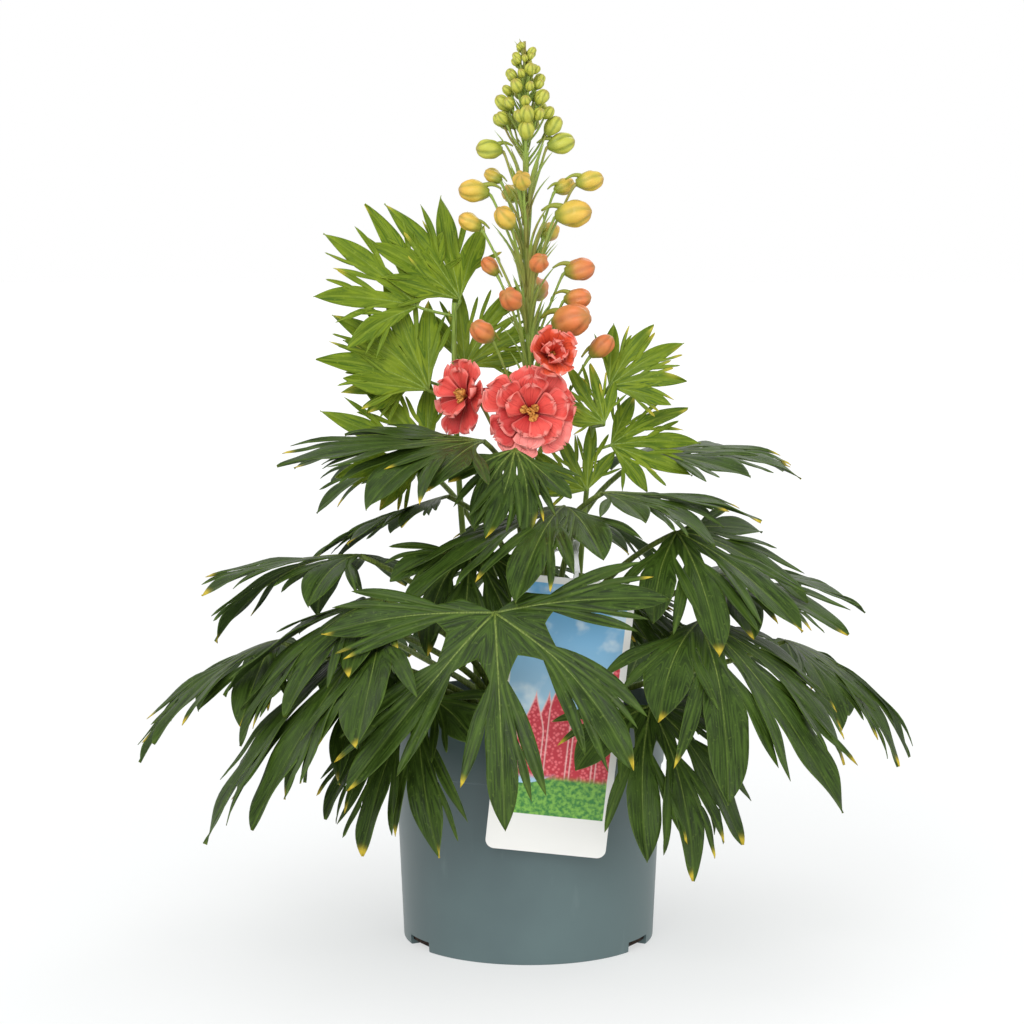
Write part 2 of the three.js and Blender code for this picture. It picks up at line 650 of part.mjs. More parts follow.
function lathe(profile, sides) {
  const points = profile.map(([radius, z]) => new THREE.Vector2(radius, z));
  return new THREE.LatheGeometry(points, sides).rotateX(Math.PI / 2);
}

function potSolid() {
  const { height, footRadius, footChamfer, bandHeight, bandStep, radiusUnderBand, rimRadius } = POT;
  const { wall, floor } = POT;
  const bandBottom = height - bandHeight;
  const profile = [
    [0, 0],
    [footRadius - footChamfer, 0],
    [footRadius, footChamfer],
    [radiusUnderBand, bandBottom],
    [radiusUnderBand + bandStep, bandBottom],
    [rimRadius, height],
    [rimRadius - wall, height],
    [radiusUnderBand - wall, bandBottom - wall],
    [footRadius - wall, floor],
    [0, floor],
  ];
  const cuts = SLOT.angles.map((angle) => {
    const box = new THREE.BoxGeometry(2 * wall + 8, SLOT.width, 2 * SLOT.height);
    box.translate(footRadius - 2, 0, 0);
    box.rotateZ(radians(angle));
    return solidOf(box);
  });
  for (let i = 0; i < DRAIN.count; i++) {
    const hole = new THREE.CylinderGeometry(DRAIN.radius, DRAIN.radius, 4 * floor, DRAIN.sides);
    hole.rotateX(Math.PI / 2).translate(DRAIN.circle, 0, 0).rotateZ((2 * Math.PI * i) / DRAIN.count);
    cuts.push(solidOf(hole));
  }
  return cuts.reduce((pot, cut) => pot.subtract(cut), solidOf(lathe(profile, POT.sides)));
}

/** The soil's top, lumpy away from its edge. */
function soilHeight(x, y) {
  const { top, lump, wavelength } = SOIL;
  const broad = Math.sin(x / wavelength + 1) * Math.cos(y / wavelength);
  const fine = Math.sin((x - y) / (0.6 * wavelength));
  return top + lump * (broad + 0.5 * fine);
}

/** The soil fills the pot, with a plain hole where each stalk and stem stands in it. */
function soilSolid(stalks) {
  const underBand = POT.height - POT.bandHeight - POT.wall;
  const inner = (z) => {
    const share = (z - POT.floor) / (underBand - POT.floor);
    return POT.footRadius - POT.wall + share * (POT.radiusUnderBand - POT.footRadius) - CLEARANCE;
  };
  const bottom = POT.floor + CLEARANCE;
  const profile = [[0, bottom], [inner(bottom), bottom]];
  for (let k = SOIL.rings; k >= 0; k--) profile.push([(inner(SOIL.top) * k) / SOIL.rings, SOIL.top]);
  const geometry = lathe(profile, SOIL.sides);
  const spots = geometry.attributes.position;
  for (let i = 0; i < spots.count; i++) {
    if (spots.getZ(i) > SOIL.top - 1) spots.setZ(i, soilHeight(spots.getX(i), spots.getY(i)));
  }
  const holes = stalks.map(({ x, y, radius }) => {
    const corner = radius / Math.cos(Math.PI / SOIL.holeSides);
    const depth = 2 * STALK_DEPTH + 2 * CLEARANCE;
    const hole = new THREE.CylinderGeometry(corner, corner, depth, SOIL.holeSides);
    return solidOf(hole.rotateX(Math.PI / 2).translate(x, y, SOIL.top));
  });
  return solidOf(geometry).subtract(fused(holes));
}

// ---- Label and its tie --------------------------------------------------------------------------

const LABEL = { width: 80, height: 188, thickness: 0.8, corner: 6, hole: 3, holeDown: 8 };
const LABEL_PLACE = { x: 20, y: -117, z: 175, lean: 6, tilt: 6 };
const TIE = {
  width: 5,
  thickness: 1,
  eye: 6,
  eyeWidth: 3,
  sides: 6,
  height: 118,
  stemRadius: 5,
  line: [
    [29, -125, 283],
    [31, -90, 288],
    [29, -50, 280],
    [10, -16, 270],
  ],
};

function labelGeometry() {
  const { width, height, thickness, corner, hole, holeDown } = LABEL;
  const [x, y] = [width / 2, height / 2];
  const card = new THREE.Shape();
  card.moveTo(-x + corner, -y);
  card.lineTo(x - corner, -y);
  card.absarc(x - corner, -y + corner, corner, -Math.PI / 2, 0);
  card.absarc(x - corner, y - corner, corner, 0, Math.PI / 2);
  card.absarc(-x + corner, y - corner, corner, Math.PI / 2, Math.PI);
  card.absarc(-x + corner, -y + corner, corner, Math.PI, 1.5 * Math.PI);
  card.holes.push(new THREE.Path().absarc(0, y - holeDown, hole, 0, 2 * Math.PI, true));
  const settings = { depth: thickness, bevelEnabled: false, curveSegments: 3 };
  return new THREE.ExtrudeGeometry(card, settings).translate(0, 0, -thickness / 2);
}

/** Where the label hangs: its middle, then its lean away from upright and its tilt in its own plane. */
function labelPlace() {
  const { x, y, z, lean, tilt } = LABEL_PLACE;
  const turned = new THREE.Matrix4().makeRotationX(radians(90 + lean));
  turned.multiply(new THREE.Matrix4().makeRotationZ(radians(-tilt)));
  return turned.setPosition(x, y, z);
}

/** A flat band along a line of points, as wide as the given direction says; its ends meet if closed. */
function bandSolid(line, across, width, thickness, closed) {
  const points = [];
  const normals = [];
  const triangles = [];
  const count = line.length;
  line.forEach((point, i) => {
    const before = line[closed ? (i + count - 1) % count : Math.max(i - 1, 0)];
    const after = line[closed ? (i + 1) % count : Math.min(i + 1, count - 1)];
    const normal = after.clone().sub(before).cross(across).normalize();
    for (const side of [-1, 1]) {
      points.push(point.clone().addScaledVector(across, (side * width) / 2));
      normals.push(normal);
    }
    if (i === count - 1 && !closed) return;
    const [a, b, c, d] = [2 * i, 2 * i + 1, 2 * ((i + 1) % count), 2 * ((i + 1) % count) + 1];
    triangles.push([a, c, b], [b, c, d]);
  });
  return solidOf(shell(points, normals, triangles, thickness));
}

/** A round eye of band: its axis is the direction the band is wide in. */
function eyeSolid(centre, axis, up, radius, width) {
  const side = axis.clone().cross(up);
  const line = Array.from({ length: TIE.sides }, (_, i) => {
    const turn = (2 * Math.PI * i) / TIE.sides;
    const point = centre.clone().addScaledVector(up, radius * Math.cos(turn));
    return point.addScaledVector(side, radius * Math.sin(turn));
  });
  return bandSolid(line, axis, width, TIE.thickness, true);
}

/** The tie: one eye through the label's hole, one round the flower stem and a band between them. */
function tieSolid() {
  const place = labelPlace();
  const hole = vector(0, LABEL.height / 2 - LABEL.holeDown, 0);
  const up = vector(0, 1, 0).transformDirection(place);
  const axis = vector(1, 0, 0).transformDirection(place);
  const eyeCentre = hole.clone().applyMatrix4(place).addScaledVector(up, TIE.eye);
  const onStem = stemAt(TIE.height);
  onStem.z += SOIL.top;
  const stemEye = TIE.stemRadius;
  const line = [
    eyeCentre.clone().addScaledVector(up, TIE.eye),
    ...TIE.line.map((p) => vector(...p)),
    onStem.clone().add(vector(0, -stemEye, 0)),
  ];
  return fused([
    eyeSolid(eyeCentre, axis, up, TIE.eye, TIE.eyeWidth),
    eyeSolid(onStem, vector(0, 0, 1), vector(0, -1, 0), stemEye, TIE.width),
    bandSolid(line, vector(1, 0, 0), TIE.width, TIE.thickness, false),
  ]);
}

// ---- The plant ----------------------------------------------------------------------------------

const plant = new THREE.Group();

const matt = (color, roughness) => new THREE.MeshStandardMaterial({ color, roughness, metalness: 0 });
const greyBluePlastic = matt(0x5f7173, 0.5);
const pottingSoil = matt(0x2b2019, 0.95);
const leafGreen = matt(0x3d5a24, 0.5);
const youngGreen = matt(0x7a9a2e, 0.5);
const coral = matt(0xe85c62, 0.6);
const labelPlastic = matt(0xe9edf0, 0.35);

function add(name, geometry, material) {
  const mesh = new THREE.Mesh(geometry, material);
  mesh.name = name;
  plant.add(mesh);
  return mesh;
}

add("pot", geometryOf(potSolid()), greyBluePlastic);

const stalks = [];
for (const leaf of clump) {
  const azimuth = radians(leaf.azimuth);
  const place = new THREE.Matrix4().makeRotationZ(azimuth);
  place.setPosition(leaf.root * Math.cos(azimuth), leaf.root * Math.sin(azimuth), SOIL.top);
  const mesh = add(leaf.name, geometryOf(basalLeaf(leaf)), leafGreen);
  mesh.applyMatrix4(place);
  const { x, y } = mesh.position;
  stalks.push({ x, y, radius: STALK.flare * STALK.radius + LEAF_HOLE_PLAY });
}
for (const [i, shoot] of SHOOTS.entries()) {
  stalks.push({ x: shoot.stem[0][0], y: shoot.stem[0][1], radius: shoot.radius + STEM_HOLE_PLAY });
  add(shoot.name, geometryOf(shootSolid(shoot, i)), youngGreen).position.z = SOIL.top;
}

const stemStations = Array.from({ length: STEM.steps + 1 }, (_, i) => {
  const point = stemCurve.getPoint(i / STEM.steps);
  return { point, radius: stemRadius(point.z) };
});
const racemeParts = [tube(stemStations, STEM.sides), ...BUDS.map(budSolid)];
for (let i = 0; i < TIP_BUDS.count; i++) racemeParts.push(tipBudSolid(i));
for (const [name, bloom] of Object.entries(BLOOMS)) {
  const direction = bearing(bloom.facing, bloom.lift);
  const back = stemAt(bloom.height).add(bearing(bloom.azimuth, 0).multiplyScalar(bloom.reach));
  const end = back.clone().addScaledVector(direction, -CLEARANCE);
  const straight = back.clone().addScaledVector(direction, -BLOOM_PEDICEL.straight);
  const line = [...pedicelPoints(straight, bloom.reach), end];
  const stations = line.map((point) => ({ point, radius: BLOOM_PEDICEL.radius }));
  racemeParts.push(tube(stations, PEDICEL.sides));
  const mesh = add(name, geometryOf(bloomSolid(bloom)), coral);
  const looking = new THREE.Matrix4().lookAt(direction, vector(0, 0, 0), vector(0, 0, 1));
  mesh.quaternion.setFromRotationMatrix(looking);
  mesh.position.copy(back).add(vector(0, 0, SOIL.top));
}
add("raceme", geometryOf(fused(racemeParts)), youngGreen).position.z = SOIL.top;

add("plant_label", labelGeometry(), labelPlastic).applyMatrix4(labelPlace());
add("label_tie", geometryOf(tieSolid()), labelPlastic);

stalks.push({ x: STEM.points[0][0], y: STEM.points[0][1], radius: STEM.radius + STEM_HOLE_PLAY });
add("potting_soil", geometryOf(soilSolid(stalks)), pottingSoil);

export default plant;
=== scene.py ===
# A delphinium in flower in a grey-blue nursery pot: potting soil, a clump of cut leaves, two leafy side
# shoots, a flower stem with its buds and open blooms, and a plant label that hangs from a white tie.
# Lengths are in millimetres, and mesh_piece() turns them into metres.
import bpy
import numpy as np
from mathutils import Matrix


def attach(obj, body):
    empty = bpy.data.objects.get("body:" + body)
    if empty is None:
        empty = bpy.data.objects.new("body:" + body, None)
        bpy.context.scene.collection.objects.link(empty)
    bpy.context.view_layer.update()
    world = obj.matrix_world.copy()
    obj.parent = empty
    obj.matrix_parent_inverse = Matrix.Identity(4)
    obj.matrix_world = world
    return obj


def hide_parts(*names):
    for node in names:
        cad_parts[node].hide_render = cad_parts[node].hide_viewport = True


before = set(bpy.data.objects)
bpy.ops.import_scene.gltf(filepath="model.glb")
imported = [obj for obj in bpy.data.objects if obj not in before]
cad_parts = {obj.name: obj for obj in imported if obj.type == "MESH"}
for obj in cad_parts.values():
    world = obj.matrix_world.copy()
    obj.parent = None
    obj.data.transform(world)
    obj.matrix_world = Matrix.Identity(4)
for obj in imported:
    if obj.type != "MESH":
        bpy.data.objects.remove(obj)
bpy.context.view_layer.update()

# ---- Camera, light and floor ---------------------------------------------------------------------
# The camera stands two metres away at table height. A white room lights everything softly, one large
# lamp above the front gives the leaves their sheen, and smaller ones fill them in and rim them.
CAMERA_PLACE = (-0.0115, -2.0, 0.53)
CAMERA_DOWN = np.radians(6.6507)
CAMERA_LENS = 102.574
LAMP_AIM_HEIGHT = 0.3
FLOOR_HALF = 12.0
# The floor's painted glow: dimmer within these metres of the plant, a painted shade round it.
FLOOR_PAINTED_GLOW = (0.3, 5.0)  # metres from the plant between which the floor's own glow grows
ROOM_WHITE = (1.0, 1.0, 1.0, 1.0)
LAMPS = {
    "key": {"place": (-0.9, -2.6, 1.9), "size": 1.8, "power": 52},
    "fill": {"place": (1.5, -2.4, 0.9), "size": 1.6, "power": 16},
    "rim": {"place": (0.9, 1.6, 1.9), "size": 1.2, "power": 14},
}


def linked(name, data):
    """A new object, linked into the scene."""
    made = bpy.data.objects.new(name, data)
    bpy.context.scene.collection.objects.link(made)
    return made


camera = linked("camera", bpy.data.cameras.new("camera"))
camera.location = CAMERA_PLACE
camera.rotation_euler = (np.pi / 2 - CAMERA_DOWN, 0, 0)
camera.data.lens = CAMERA_LENS
bpy.context.scene.camera = camera
bpy.context.scene.view_settings.view_transform = "Standard"


def node(tree, kind, inputs=None, out=0, **settings):
    """A new node with its settings, its inputs given as values or as sockets to link; gives one output."""
    made = tree.nodes.new(kind)
    for key, value in settings.items():
        setattr(made, key, value)
    for key, value in (inputs or {}).items():
        if isinstance(value, bpy.types.NodeSocket):
            tree.links.new(value, made.inputs[key])
        else:
            made.inputs[key].default_value = value
    return made.outputs[out]


room = bpy.data.worlds.new("room")
room.use_nodes = True
room.node_tree.nodes["Background"].inputs["Color"].default_value = ROOM_WHITE
room.node_tree.nodes["Background"].inputs["Strength"].default_value = 1.0
bpy.context.scene.world = room

for name, lamp in LAMPS.items():
    light = bpy.data.lights.new(name, "AREA")
    light.size = lamp["size"]
    light.energy = lamp["power"]
    holder = linked(name, light)
    holder.location = lamp["place"]
    aim = -holder.location
    aim.z += LAMP_AIM_HEIGHT
    holder.rotation_euler = aim.to_track_quat("-Z", "Y").to_euler()


def paint(code):
    """A colour written as six hexadecimal digits, as the linear values that a socket takes."""
    share = np.array([int(code[i : i + 2], 16) for i in (0, 2, 4)]) / 255
    linear = np.where(share <= 0.04045, share / 12.92, ((share + 0.055) / 1.055) ** 2.4)
    return (*(float(v) for v in linear), 1.0)


def new_finish(name, roughness, specular=0.5):
    """A Principled material with plain roughness and specular level; gives it with its tree and shader."""
    finish = bpy.data.materials.new(name)
    finish.use_nodes = True
    shader = finish.node_tree.nodes["Principled BSDF"]
    shader.inputs["Roughness"].default_value = roughness
    shader.inputs["Specular IOR Level"].default_value = specular
    return finish, finish.node_tree, shader


def mix(tree, factor, first, second):
    """Two colours mixed: the first where the factor is 0, the second where it is 1. Each is a socket or is
    written as for paint()."""
    made = tree.nodes.new("ShaderNodeMix")
    made.data_type = "RGBA"
    for index, value in ((0, factor), (6, first), (7, second)):
        if isinstance(value, bpy.types.NodeSocket):
            tree.links.new(value, made.inputs[index])
        else:
            made.inputs[index].default_value = paint(value) if isinstance(value, str) else value
    return made.outputs[2]


def step_up(tree, value, low, high, least=0.0, most=1.0):
    """A smooth step of a value: least below low, most above high."""
    inputs = {"Value": value, "From Min": low, "From Max": high, "To Min": least, "To Max": most}
    return node(tree, "ShaderNodeMapRange", inputs, interpolation_type="SMOOTHSTEP")


def noise(tree, place, scale, detail):
    """Noise at a place: so many spots to a unit, with so many finer layers."""
    return node(tree, "ShaderNodeTexNoise", {"Vector": place, "Scale": scale, "Detail": detail})


def mottle(tree, scale, detail=3.0, stretch=None):
    """Noise on the piece's own coordinates, of so many spots a metre, pulled long where stretch says."""
    place = node(tree, "ShaderNodeTexCoord", out="Object")
    if stretch:
        place = node(tree, "ShaderNodeMapping", {"Vector": place, "Scale": stretch})
    return noise(tree, place, scale, detail)


def floor_paper_painted_glow():
    """Pale paper with a painted glow of its own, an emission that keeps shadows on it soft. The glow is
    dimmer near the plant, a painted shade round it, and brightens away until it meets the white room."""
    finish, tree, shader = new_finish("floor_paper_painted_glow", 0.9, 0.1)
    tree.links.new(mix(tree, mottle(tree, 1.5), "9b9c9c", "9d9e9e"), shader.inputs["Base Color"])
    place = node(tree, "ShaderNodeTexCoord", out="Object")
    away = node(tree, "ShaderNodeVectorMath", {0: place}, out="Value", operation="LENGTH")
    # Painted light: the floor's emission, dimmer near the plant as a painted shade, brighter towards the
    # room.
    painted_glow = mix(tree, step_up(tree, away, *FLOOR_PAINTED_GLOW), "c4c5c5", "e1e1e1")
    tree.links.new(painted_glow, shader.inputs["Emission Color"])
    shader.inputs["Emission Strength"].default_value = 1.0
    return finish


floor_mesh = bpy.data.meshes.new("floor")
corners = [(x * FLOOR_HALF, y * FLOOR_HALF, 0) for x, y in ((-1, -1), (1, -1), (1, 1), (-1, 1))]
floor_mesh.from_pydata(corners, [], [(0, 1, 2, 3)])
floor_mesh.materials.append(floor_paper_painted_glow())
floor = linked("floor", floor_mesh)

# ---- Pot -----------------------------------------------------------------------------------------
# A 19 cm nursery pot of thin grey-blue polypropylene, moulded in one: a conical wall, a rim band that
# stands out by a small step, and a foot with four drainage slots. It is a profile turned round the axis.
POT = {"height": 165, "foot": 87, "under_band": 92.6, "band": 41, "step": 1.4, "rim": 95.5, "wall": 1.8}
POT_FLOOR = 3
POT_COLUMNS = 240
POT_ROUNDING = 1.1
POT_SHARP = np.radians(32)
SLOT = {"angles": (-150, -30, 30, 150), "width": 26, "height": 7, "depth": 11.6, "middle": 85}
DRAIN = {"radius": 5, "circle": 48, "count": 6, "half": 9.0, "sides": 24}
PIN = 0.5  # a turned profile starts so far from the axis, and a cap closes it
MM = 0.001


def grid_faces(rows, columns, closed=False):
    """Quads between neighbouring rows and columns of a grid. Closed joins its last column to the first."""
    index = np.arange(rows * columns).reshape(rows, columns)
    if closed:
        index = np.concatenate([index, index[:, :1]], axis=1)
    quads = [index[:-1, :-1], index[1:, :-1], index[1:, 1:], index[:-1, 1:]]
    return np.stack(quads, -1).reshape(-1, 4)


def mesh_piece(name, parts, finishes, smooth=True):
    """One object of several parts, each a dict of points in mm, faces, and if it has them a finish number
    and named values for its points, which count as 0 where a part has none. Its place is in its mesh, and
    the object stands at the origin."""
    points = np.concatenate([part["points"] for part in parts]) * MM
    starts = np.cumsum([0] + [len(part["points"]) for part in parts])
    faces = [(part["faces"] + start) for part, start in zip(parts, starts)]
    mesh = bpy.data.meshes.new(name)
    sizes = np.concatenate([np.full(len(face), face.shape[1]) for face in faces])
    corners = np.concatenate([face.ravel() for face in faces])
    mesh.vertices.add(len(points))
    mesh.vertices.foreach_set("co", points.ravel())
    mesh.loops.add(len(corners))
    mesh.loops.foreach_set("vertex_index", corners.astype(np.int32))
    mesh.polygons.add(len(sizes))
    mesh.polygons.foreach_set("loop_start", (np.cumsum(sizes) - sizes).astype(np.int32))
    mesh.update(calc_edges=True)
    for finish in finishes:
        mesh.materials.append(finish)
    slots = [np.broadcast_to(part.get("finish", 0), len(part["faces"])) for part in parts]
    mesh.polygons.foreach_set("material_index", np.concatenate(slots).astype(np.int32))
    mesh.polygons.foreach_set("use_smooth", np.full(len(sizes), smooth))
    for key in sorted({key for part in parts for key in part.get("values", {})}):
        given = [np.broadcast_to(part.get("values", {}).get(key, 0.0), len(part["points"])) for part in parts]
        layer = mesh.attributes.new(key, "FLOAT", "POINT")
        layer.data.foreach_set("value", np.concatenate(given).astype(np.float32))
    mesh.validate()
    return linked(name, mesh)


def dress(piece, slot, *nodes):
    """The piece rides on the plant's one body and stands for the nodes. The slot is not used."""
    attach(piece, "root")
    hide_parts(*nodes)


def rounded(profile, radius, steps=4):
    """A profile with each inner corner replaced by a quadratic arc that starts and ends radius away."""
    profile = np.asarray(profile, float)
    share = np.linspace(0, 1, steps + 1)[:, None]
    rows = [profile[:1]]
    for before, corner, after in zip(profile[:-2], profile[1:-1], profile[2:]):
        reach_in = min(radius, np.linalg.norm(before - corner) / 2) / np.linalg.norm(before - corner)
        reach_out = min(radius, np.linalg.norm(after - corner) / 2) / np.linalg.norm(after - corner)
        start = corner + (before - corner) * reach_in
        end = corner + (after - corner) * reach_out
        rows.append((1 - share) ** 2 * start + 2 * share * (1 - share) * corner + share**2 * end)
    return np.concatenate(rows + [profile[-1:]])


def turned(profile, columns):
    """A profile of (radius, height) turned round the axis: rows are its points, columns go round."""
    turn = np.arange(columns) * 2 * np.pi / columns
    radius, height = profile[:, :1], profile[:, 1:]
    shape = (radius * np.cos(turn), radius * np.sin(turn), height + 0 * turn)
    points = np.stack(shape, -1).reshape(-1, 3)
    ends = [np.arange(columns)[None, ::-1], np.arange(columns)[None] + (len(profile) - 1) * columns]
    sides = {"points": points, "faces": grid_faces(len(profile), columns, closed=True)[:, ::-1]}
    caps = [{"points": points[end[0]], "faces": np.arange(columns)[None]} for end in ends]
    return [sides, *caps]


def slot_box(angle):
    """A slot's cutter: a box at its azimuth across the foot's wall, half of it below the ground."""
    sign = np.array([(x, y, z) for x in (-1, 1) for y in (-1, 1) for z in (-1, 1)])
    x, y, z = (sign * (SLOT["depth"] / 2, SLOT["width"] / 2, SLOT["height"])).T
    turn = np.radians(angle)
    x = x + SLOT["middle"]
    points = np.stack([x * np.cos(turn) - y * np.sin(turn), x * np.sin(turn) + y * np.cos(turn), z], -1)
    return {"points": points, "faces": BOX_FACES}


def drain_rods(i):
    """A drain hole's cutter: an upright rod on its circle, closed at both ends."""
    turn = 2 * np.pi * i / DRAIN["count"]
    shift = (DRAIN["circle"] * np.cos(turn), DRAIN["circle"] * np.sin(turn), 0)
    profile = np.array([(DRAIN["radius"], -DRAIN["half"]), (DRAIN["radius"], DRAIN["half"])])
    return [{**part, "points": part["points"] + shift} for part in turned(profile, DRAIN["sides"])]


def applied(piece):
    """The piece's modifiers become its mesh."""
    graph = bpy.context.evaluated_depsgraph_get()
    final = bpy.data.meshes.new_from_object(piece.evaluated_get(graph))
    piece.modifiers.clear()
    piece.data = final
    return piece


band_bottom = POT["height"] - POT["band"]
outside = [
    (PIN, 0),
    (POT["foot"], 0),
    (POT["under_band"], band_bottom),
    (POT["under_band"] + POT["step"], band_bottom),
    (POT["rim"], POT["height"]),
    (POT["rim"] - POT["wall"], POT["height"]),
    (POT["under_band"] - POT["wall"], band_bottom - POT["wall"]),
    (POT["foot"] - POT["wall"], POT_FLOOR),
    (PIN, POT_FLOOR),
]
BOX_FACES = np.array([(0, 1, 3, 2), (4, 6, 7, 5), (0, 4, 5, 1), (2, 3, 7, 6), (0, 2, 6, 4), (1, 5, 7, 3)])
cutters = [slot_box(angle) for angle in SLOT["angles"]]
for i in range(DRAIN["count"]):
    cutters += drain_rods(i)


def cover(tree, shader, colour, relief, depth, strength=1.0):
    """The shader takes the colour and the relief, which is a bump so many metres deep from 0 to 1."""
    tree.links.new(colour, shader.inputs["Base Color"])
    inputs = {"Height": relief, "Distance": depth, "Strength": strength}
    tree.links.new(node(tree, "ShaderNodeBump", inputs), shader.inputs["Normal"])


def pot_plastic():
    """Matt polypropylene: grey-blue with faint cloudy patches, fine moulding grain and dusty scuffs."""
    finish, tree, shader = new_finish("pot_plastic", 0.42, 0.45)
    cloud = mottle(tree, 9, 4)
    scuff = mottle(tree, 60, 5, (1, 1, 0.25))
    patches = mix(tree, step_up(tree, cloud, 0.35, 0.7), "4f6062", "576a6b")
    colour = mix(tree, step_up(tree, scuff, 0.62, 0.74, 0, 0.35), patches, "6e8080")
    tree.links.new(step_up(tree, cloud, 0.3, 0.7, 0.36, 0.5), shader.inputs["Roughness"])
    cover(tree, shader, colour, mottle(tree, 900, 2), 0.00008, 0.5)
    return finish


pot = mesh_piece("nursery_pot", turned(rounded(outside, POT_ROUNDING), POT_COLUMNS), [pot_plastic()])
cutter = mesh_piece("slot_cutter", cutters, [])
for piece in (pot, cutter):
    weld = piece.modifiers.new("weld", "WELD")
    weld.merge_threshold = 0.00001
    applied(piece)
cut = pot.modifiers.new("slots", "BOOLEAN")
cut.operation = "DIFFERENCE"
cut.object = cutter
applied(pot)
bpy.data.objects.remove(cutter)
pot.data.set_sharp_from_angle(angle=POT_SHARP)
dress(pot, "pot_plastic", "pot")

# ---- Potting soil --------------------------------------------------------------------------------
# Dark peat that fills the pot to 16 mm under its rim. Its top is a sum of low waves with crumbs of all
# sizes on it.
SOIL_TOP = 149.0
SOIL_LUMP = 1.6
SOIL_WAVE = 21
SOIL_GAP = 0.3
SOIL_RINGS = 60
SOIL_GRIT = 0.55
CRUMBS = {"count": 420, "reach": 88, "smallest": 0.8, "largest": 3.2}


def soil_height(x, y):
    """The soil's top: two crossing waves and a finer slanting one round its level."""
    broad = np.sin(x / SOIL_WAVE + 1) * np.cos(y / SOIL_WAVE)
    return SOIL_TOP + SOIL_LUMP * (broad + 0.5 * np.sin((x - y) / (0.6 * SOIL_WAVE)))


def potting_soil():
    """Peat: nearly black brown with rusty fibres, rough and full of crumbs."""
    finish, tree, shader = new_finish("potting_soil", 0.95, 0.2)
    crumb = mottle(tree, 320, 6)
    fibre = mottle(tree, 500, 4, (1, 0.2, 1))
    peat = mix(tree, step_up(tree, crumb, 0.35, 0.7), "1a120d", "3c2c20")
    colour = mix(tree, step_up(tree, fibre, 0.62, 0.72, 0, 0.5), peat, "6b4a30")
    cover(tree, shader, colour, crumb, 0.0012)
    return finish


def triangles(quads):
    """Two triangles for each quad, cut along its first diagonal."""
    return np.concatenate([quads[:, [0, 1, 2]], quads[:, [0, 2, 3]]])


def soil_fill():
    """A disc of rings on the waves, with fine random lumps, down the pot's wall and across its floor."""
    slope = (POT["under_band"] - POT["foot"]) / (POT["height"] - POT["band"] - POT["wall"] - POT_FLOOR)
    foot = POT["foot"] - POT["wall"] - SOIL_GAP
    bottom = POT_FLOOR + SOIL_GAP
    turn = np.arange(POT_COLUMNS // 2) * 4 * np.pi / POT_COLUMNS
    wall = foot + slope * (SOIL_TOP - bottom)
    radius = np.concatenate([[PIN, foot], np.linspace(wall, PIN, SOIL_RINGS)])[:, None]
    x, y = radius * np.cos(turn), radius * np.sin(turn)
    height = soil_height(x, y)
    lumps = np.random.default_rng(4).normal(0, SOIL_GRIT, height.shape)
    height = height + lumps * (radius < wall - 1)
    height[:2] = bottom
    height[-1] = height[-1].mean()
    points = np.stack([x, y, height], -1).reshape(-1, 3)
    rows = len(radius)
    centre = np.array([(0, 0, bottom), (0, 0, height[-1, 0])])
    quads = grid_faces(rows, len(turn), closed=True)[:, ::-1]
    ring = np.arange(len(turn))
    after = np.roll(ring, -1)
    last = (rows - 1) * len(turn)
    pole = np.full(len(turn), rows * len(turn))
    fans = [np.stack([pole, after, ring], -1), np.stack([pole + 1, ring + last, after + last], -1)]
    return {"points": np.concatenate([points, centre]), "faces": np.concatenate([triangles(quads), *fans])}


OCTAHEDRON = np.array([(1, 0, 0), (-1, 0, 0), (0, 1, 0), (0, -1, 0), (0, 0, 1), (0, 0, -1)], float)
OCTAHEDRON_FACES = np.array(
    [(0, 2, 4), (2, 1, 4), (1, 3, 4), (3, 0, 4), (2, 0, 5), (1, 2, 5), (3, 1, 5), (0, 3, 5)]
)


def soil_crumbs(draws):
    """Crumbs: octahedra of uneven corners, strewn evenly over the disc and half sunk into its top."""
    count = CRUMBS["count"]
    reach = CRUMBS["reach"] * np.sqrt(draws.random(count))
    turn = draws.random(count) * 2 * np.pi
    x, y = reach * np.cos(turn), reach * np.sin(turn)
    size = CRUMBS["smallest"] + (CRUMBS["largest"] - CRUMBS["smallest"]) * draws.random(count) ** 3
    shape = OCTAHEDRON * size[:, None, None] * draws.uniform(0.6, 1.3, (count, 6, 1))
    place = np.stack([x, y, soil_height(x, y) + 0.3 * size], -1)
    faces = OCTAHEDRON_FACES + 6 * np.arange(count)[:, None, None]
    return {"points": (shape + place[:, None]).reshape(-1, 3), "faces": faces.reshape(-1, 3)}


peat = potting_soil()
dress(mesh_piece("soil_fill", [soil_fill()], [peat]), "potting_soil", "potting_soil")
crumbs = mesh_piece("soil_crumbs", [soil_crumbs(np.random.default_rng(8))], [peat], smooth=False)
dress(crumbs, "potting_soil", "potting_soil")

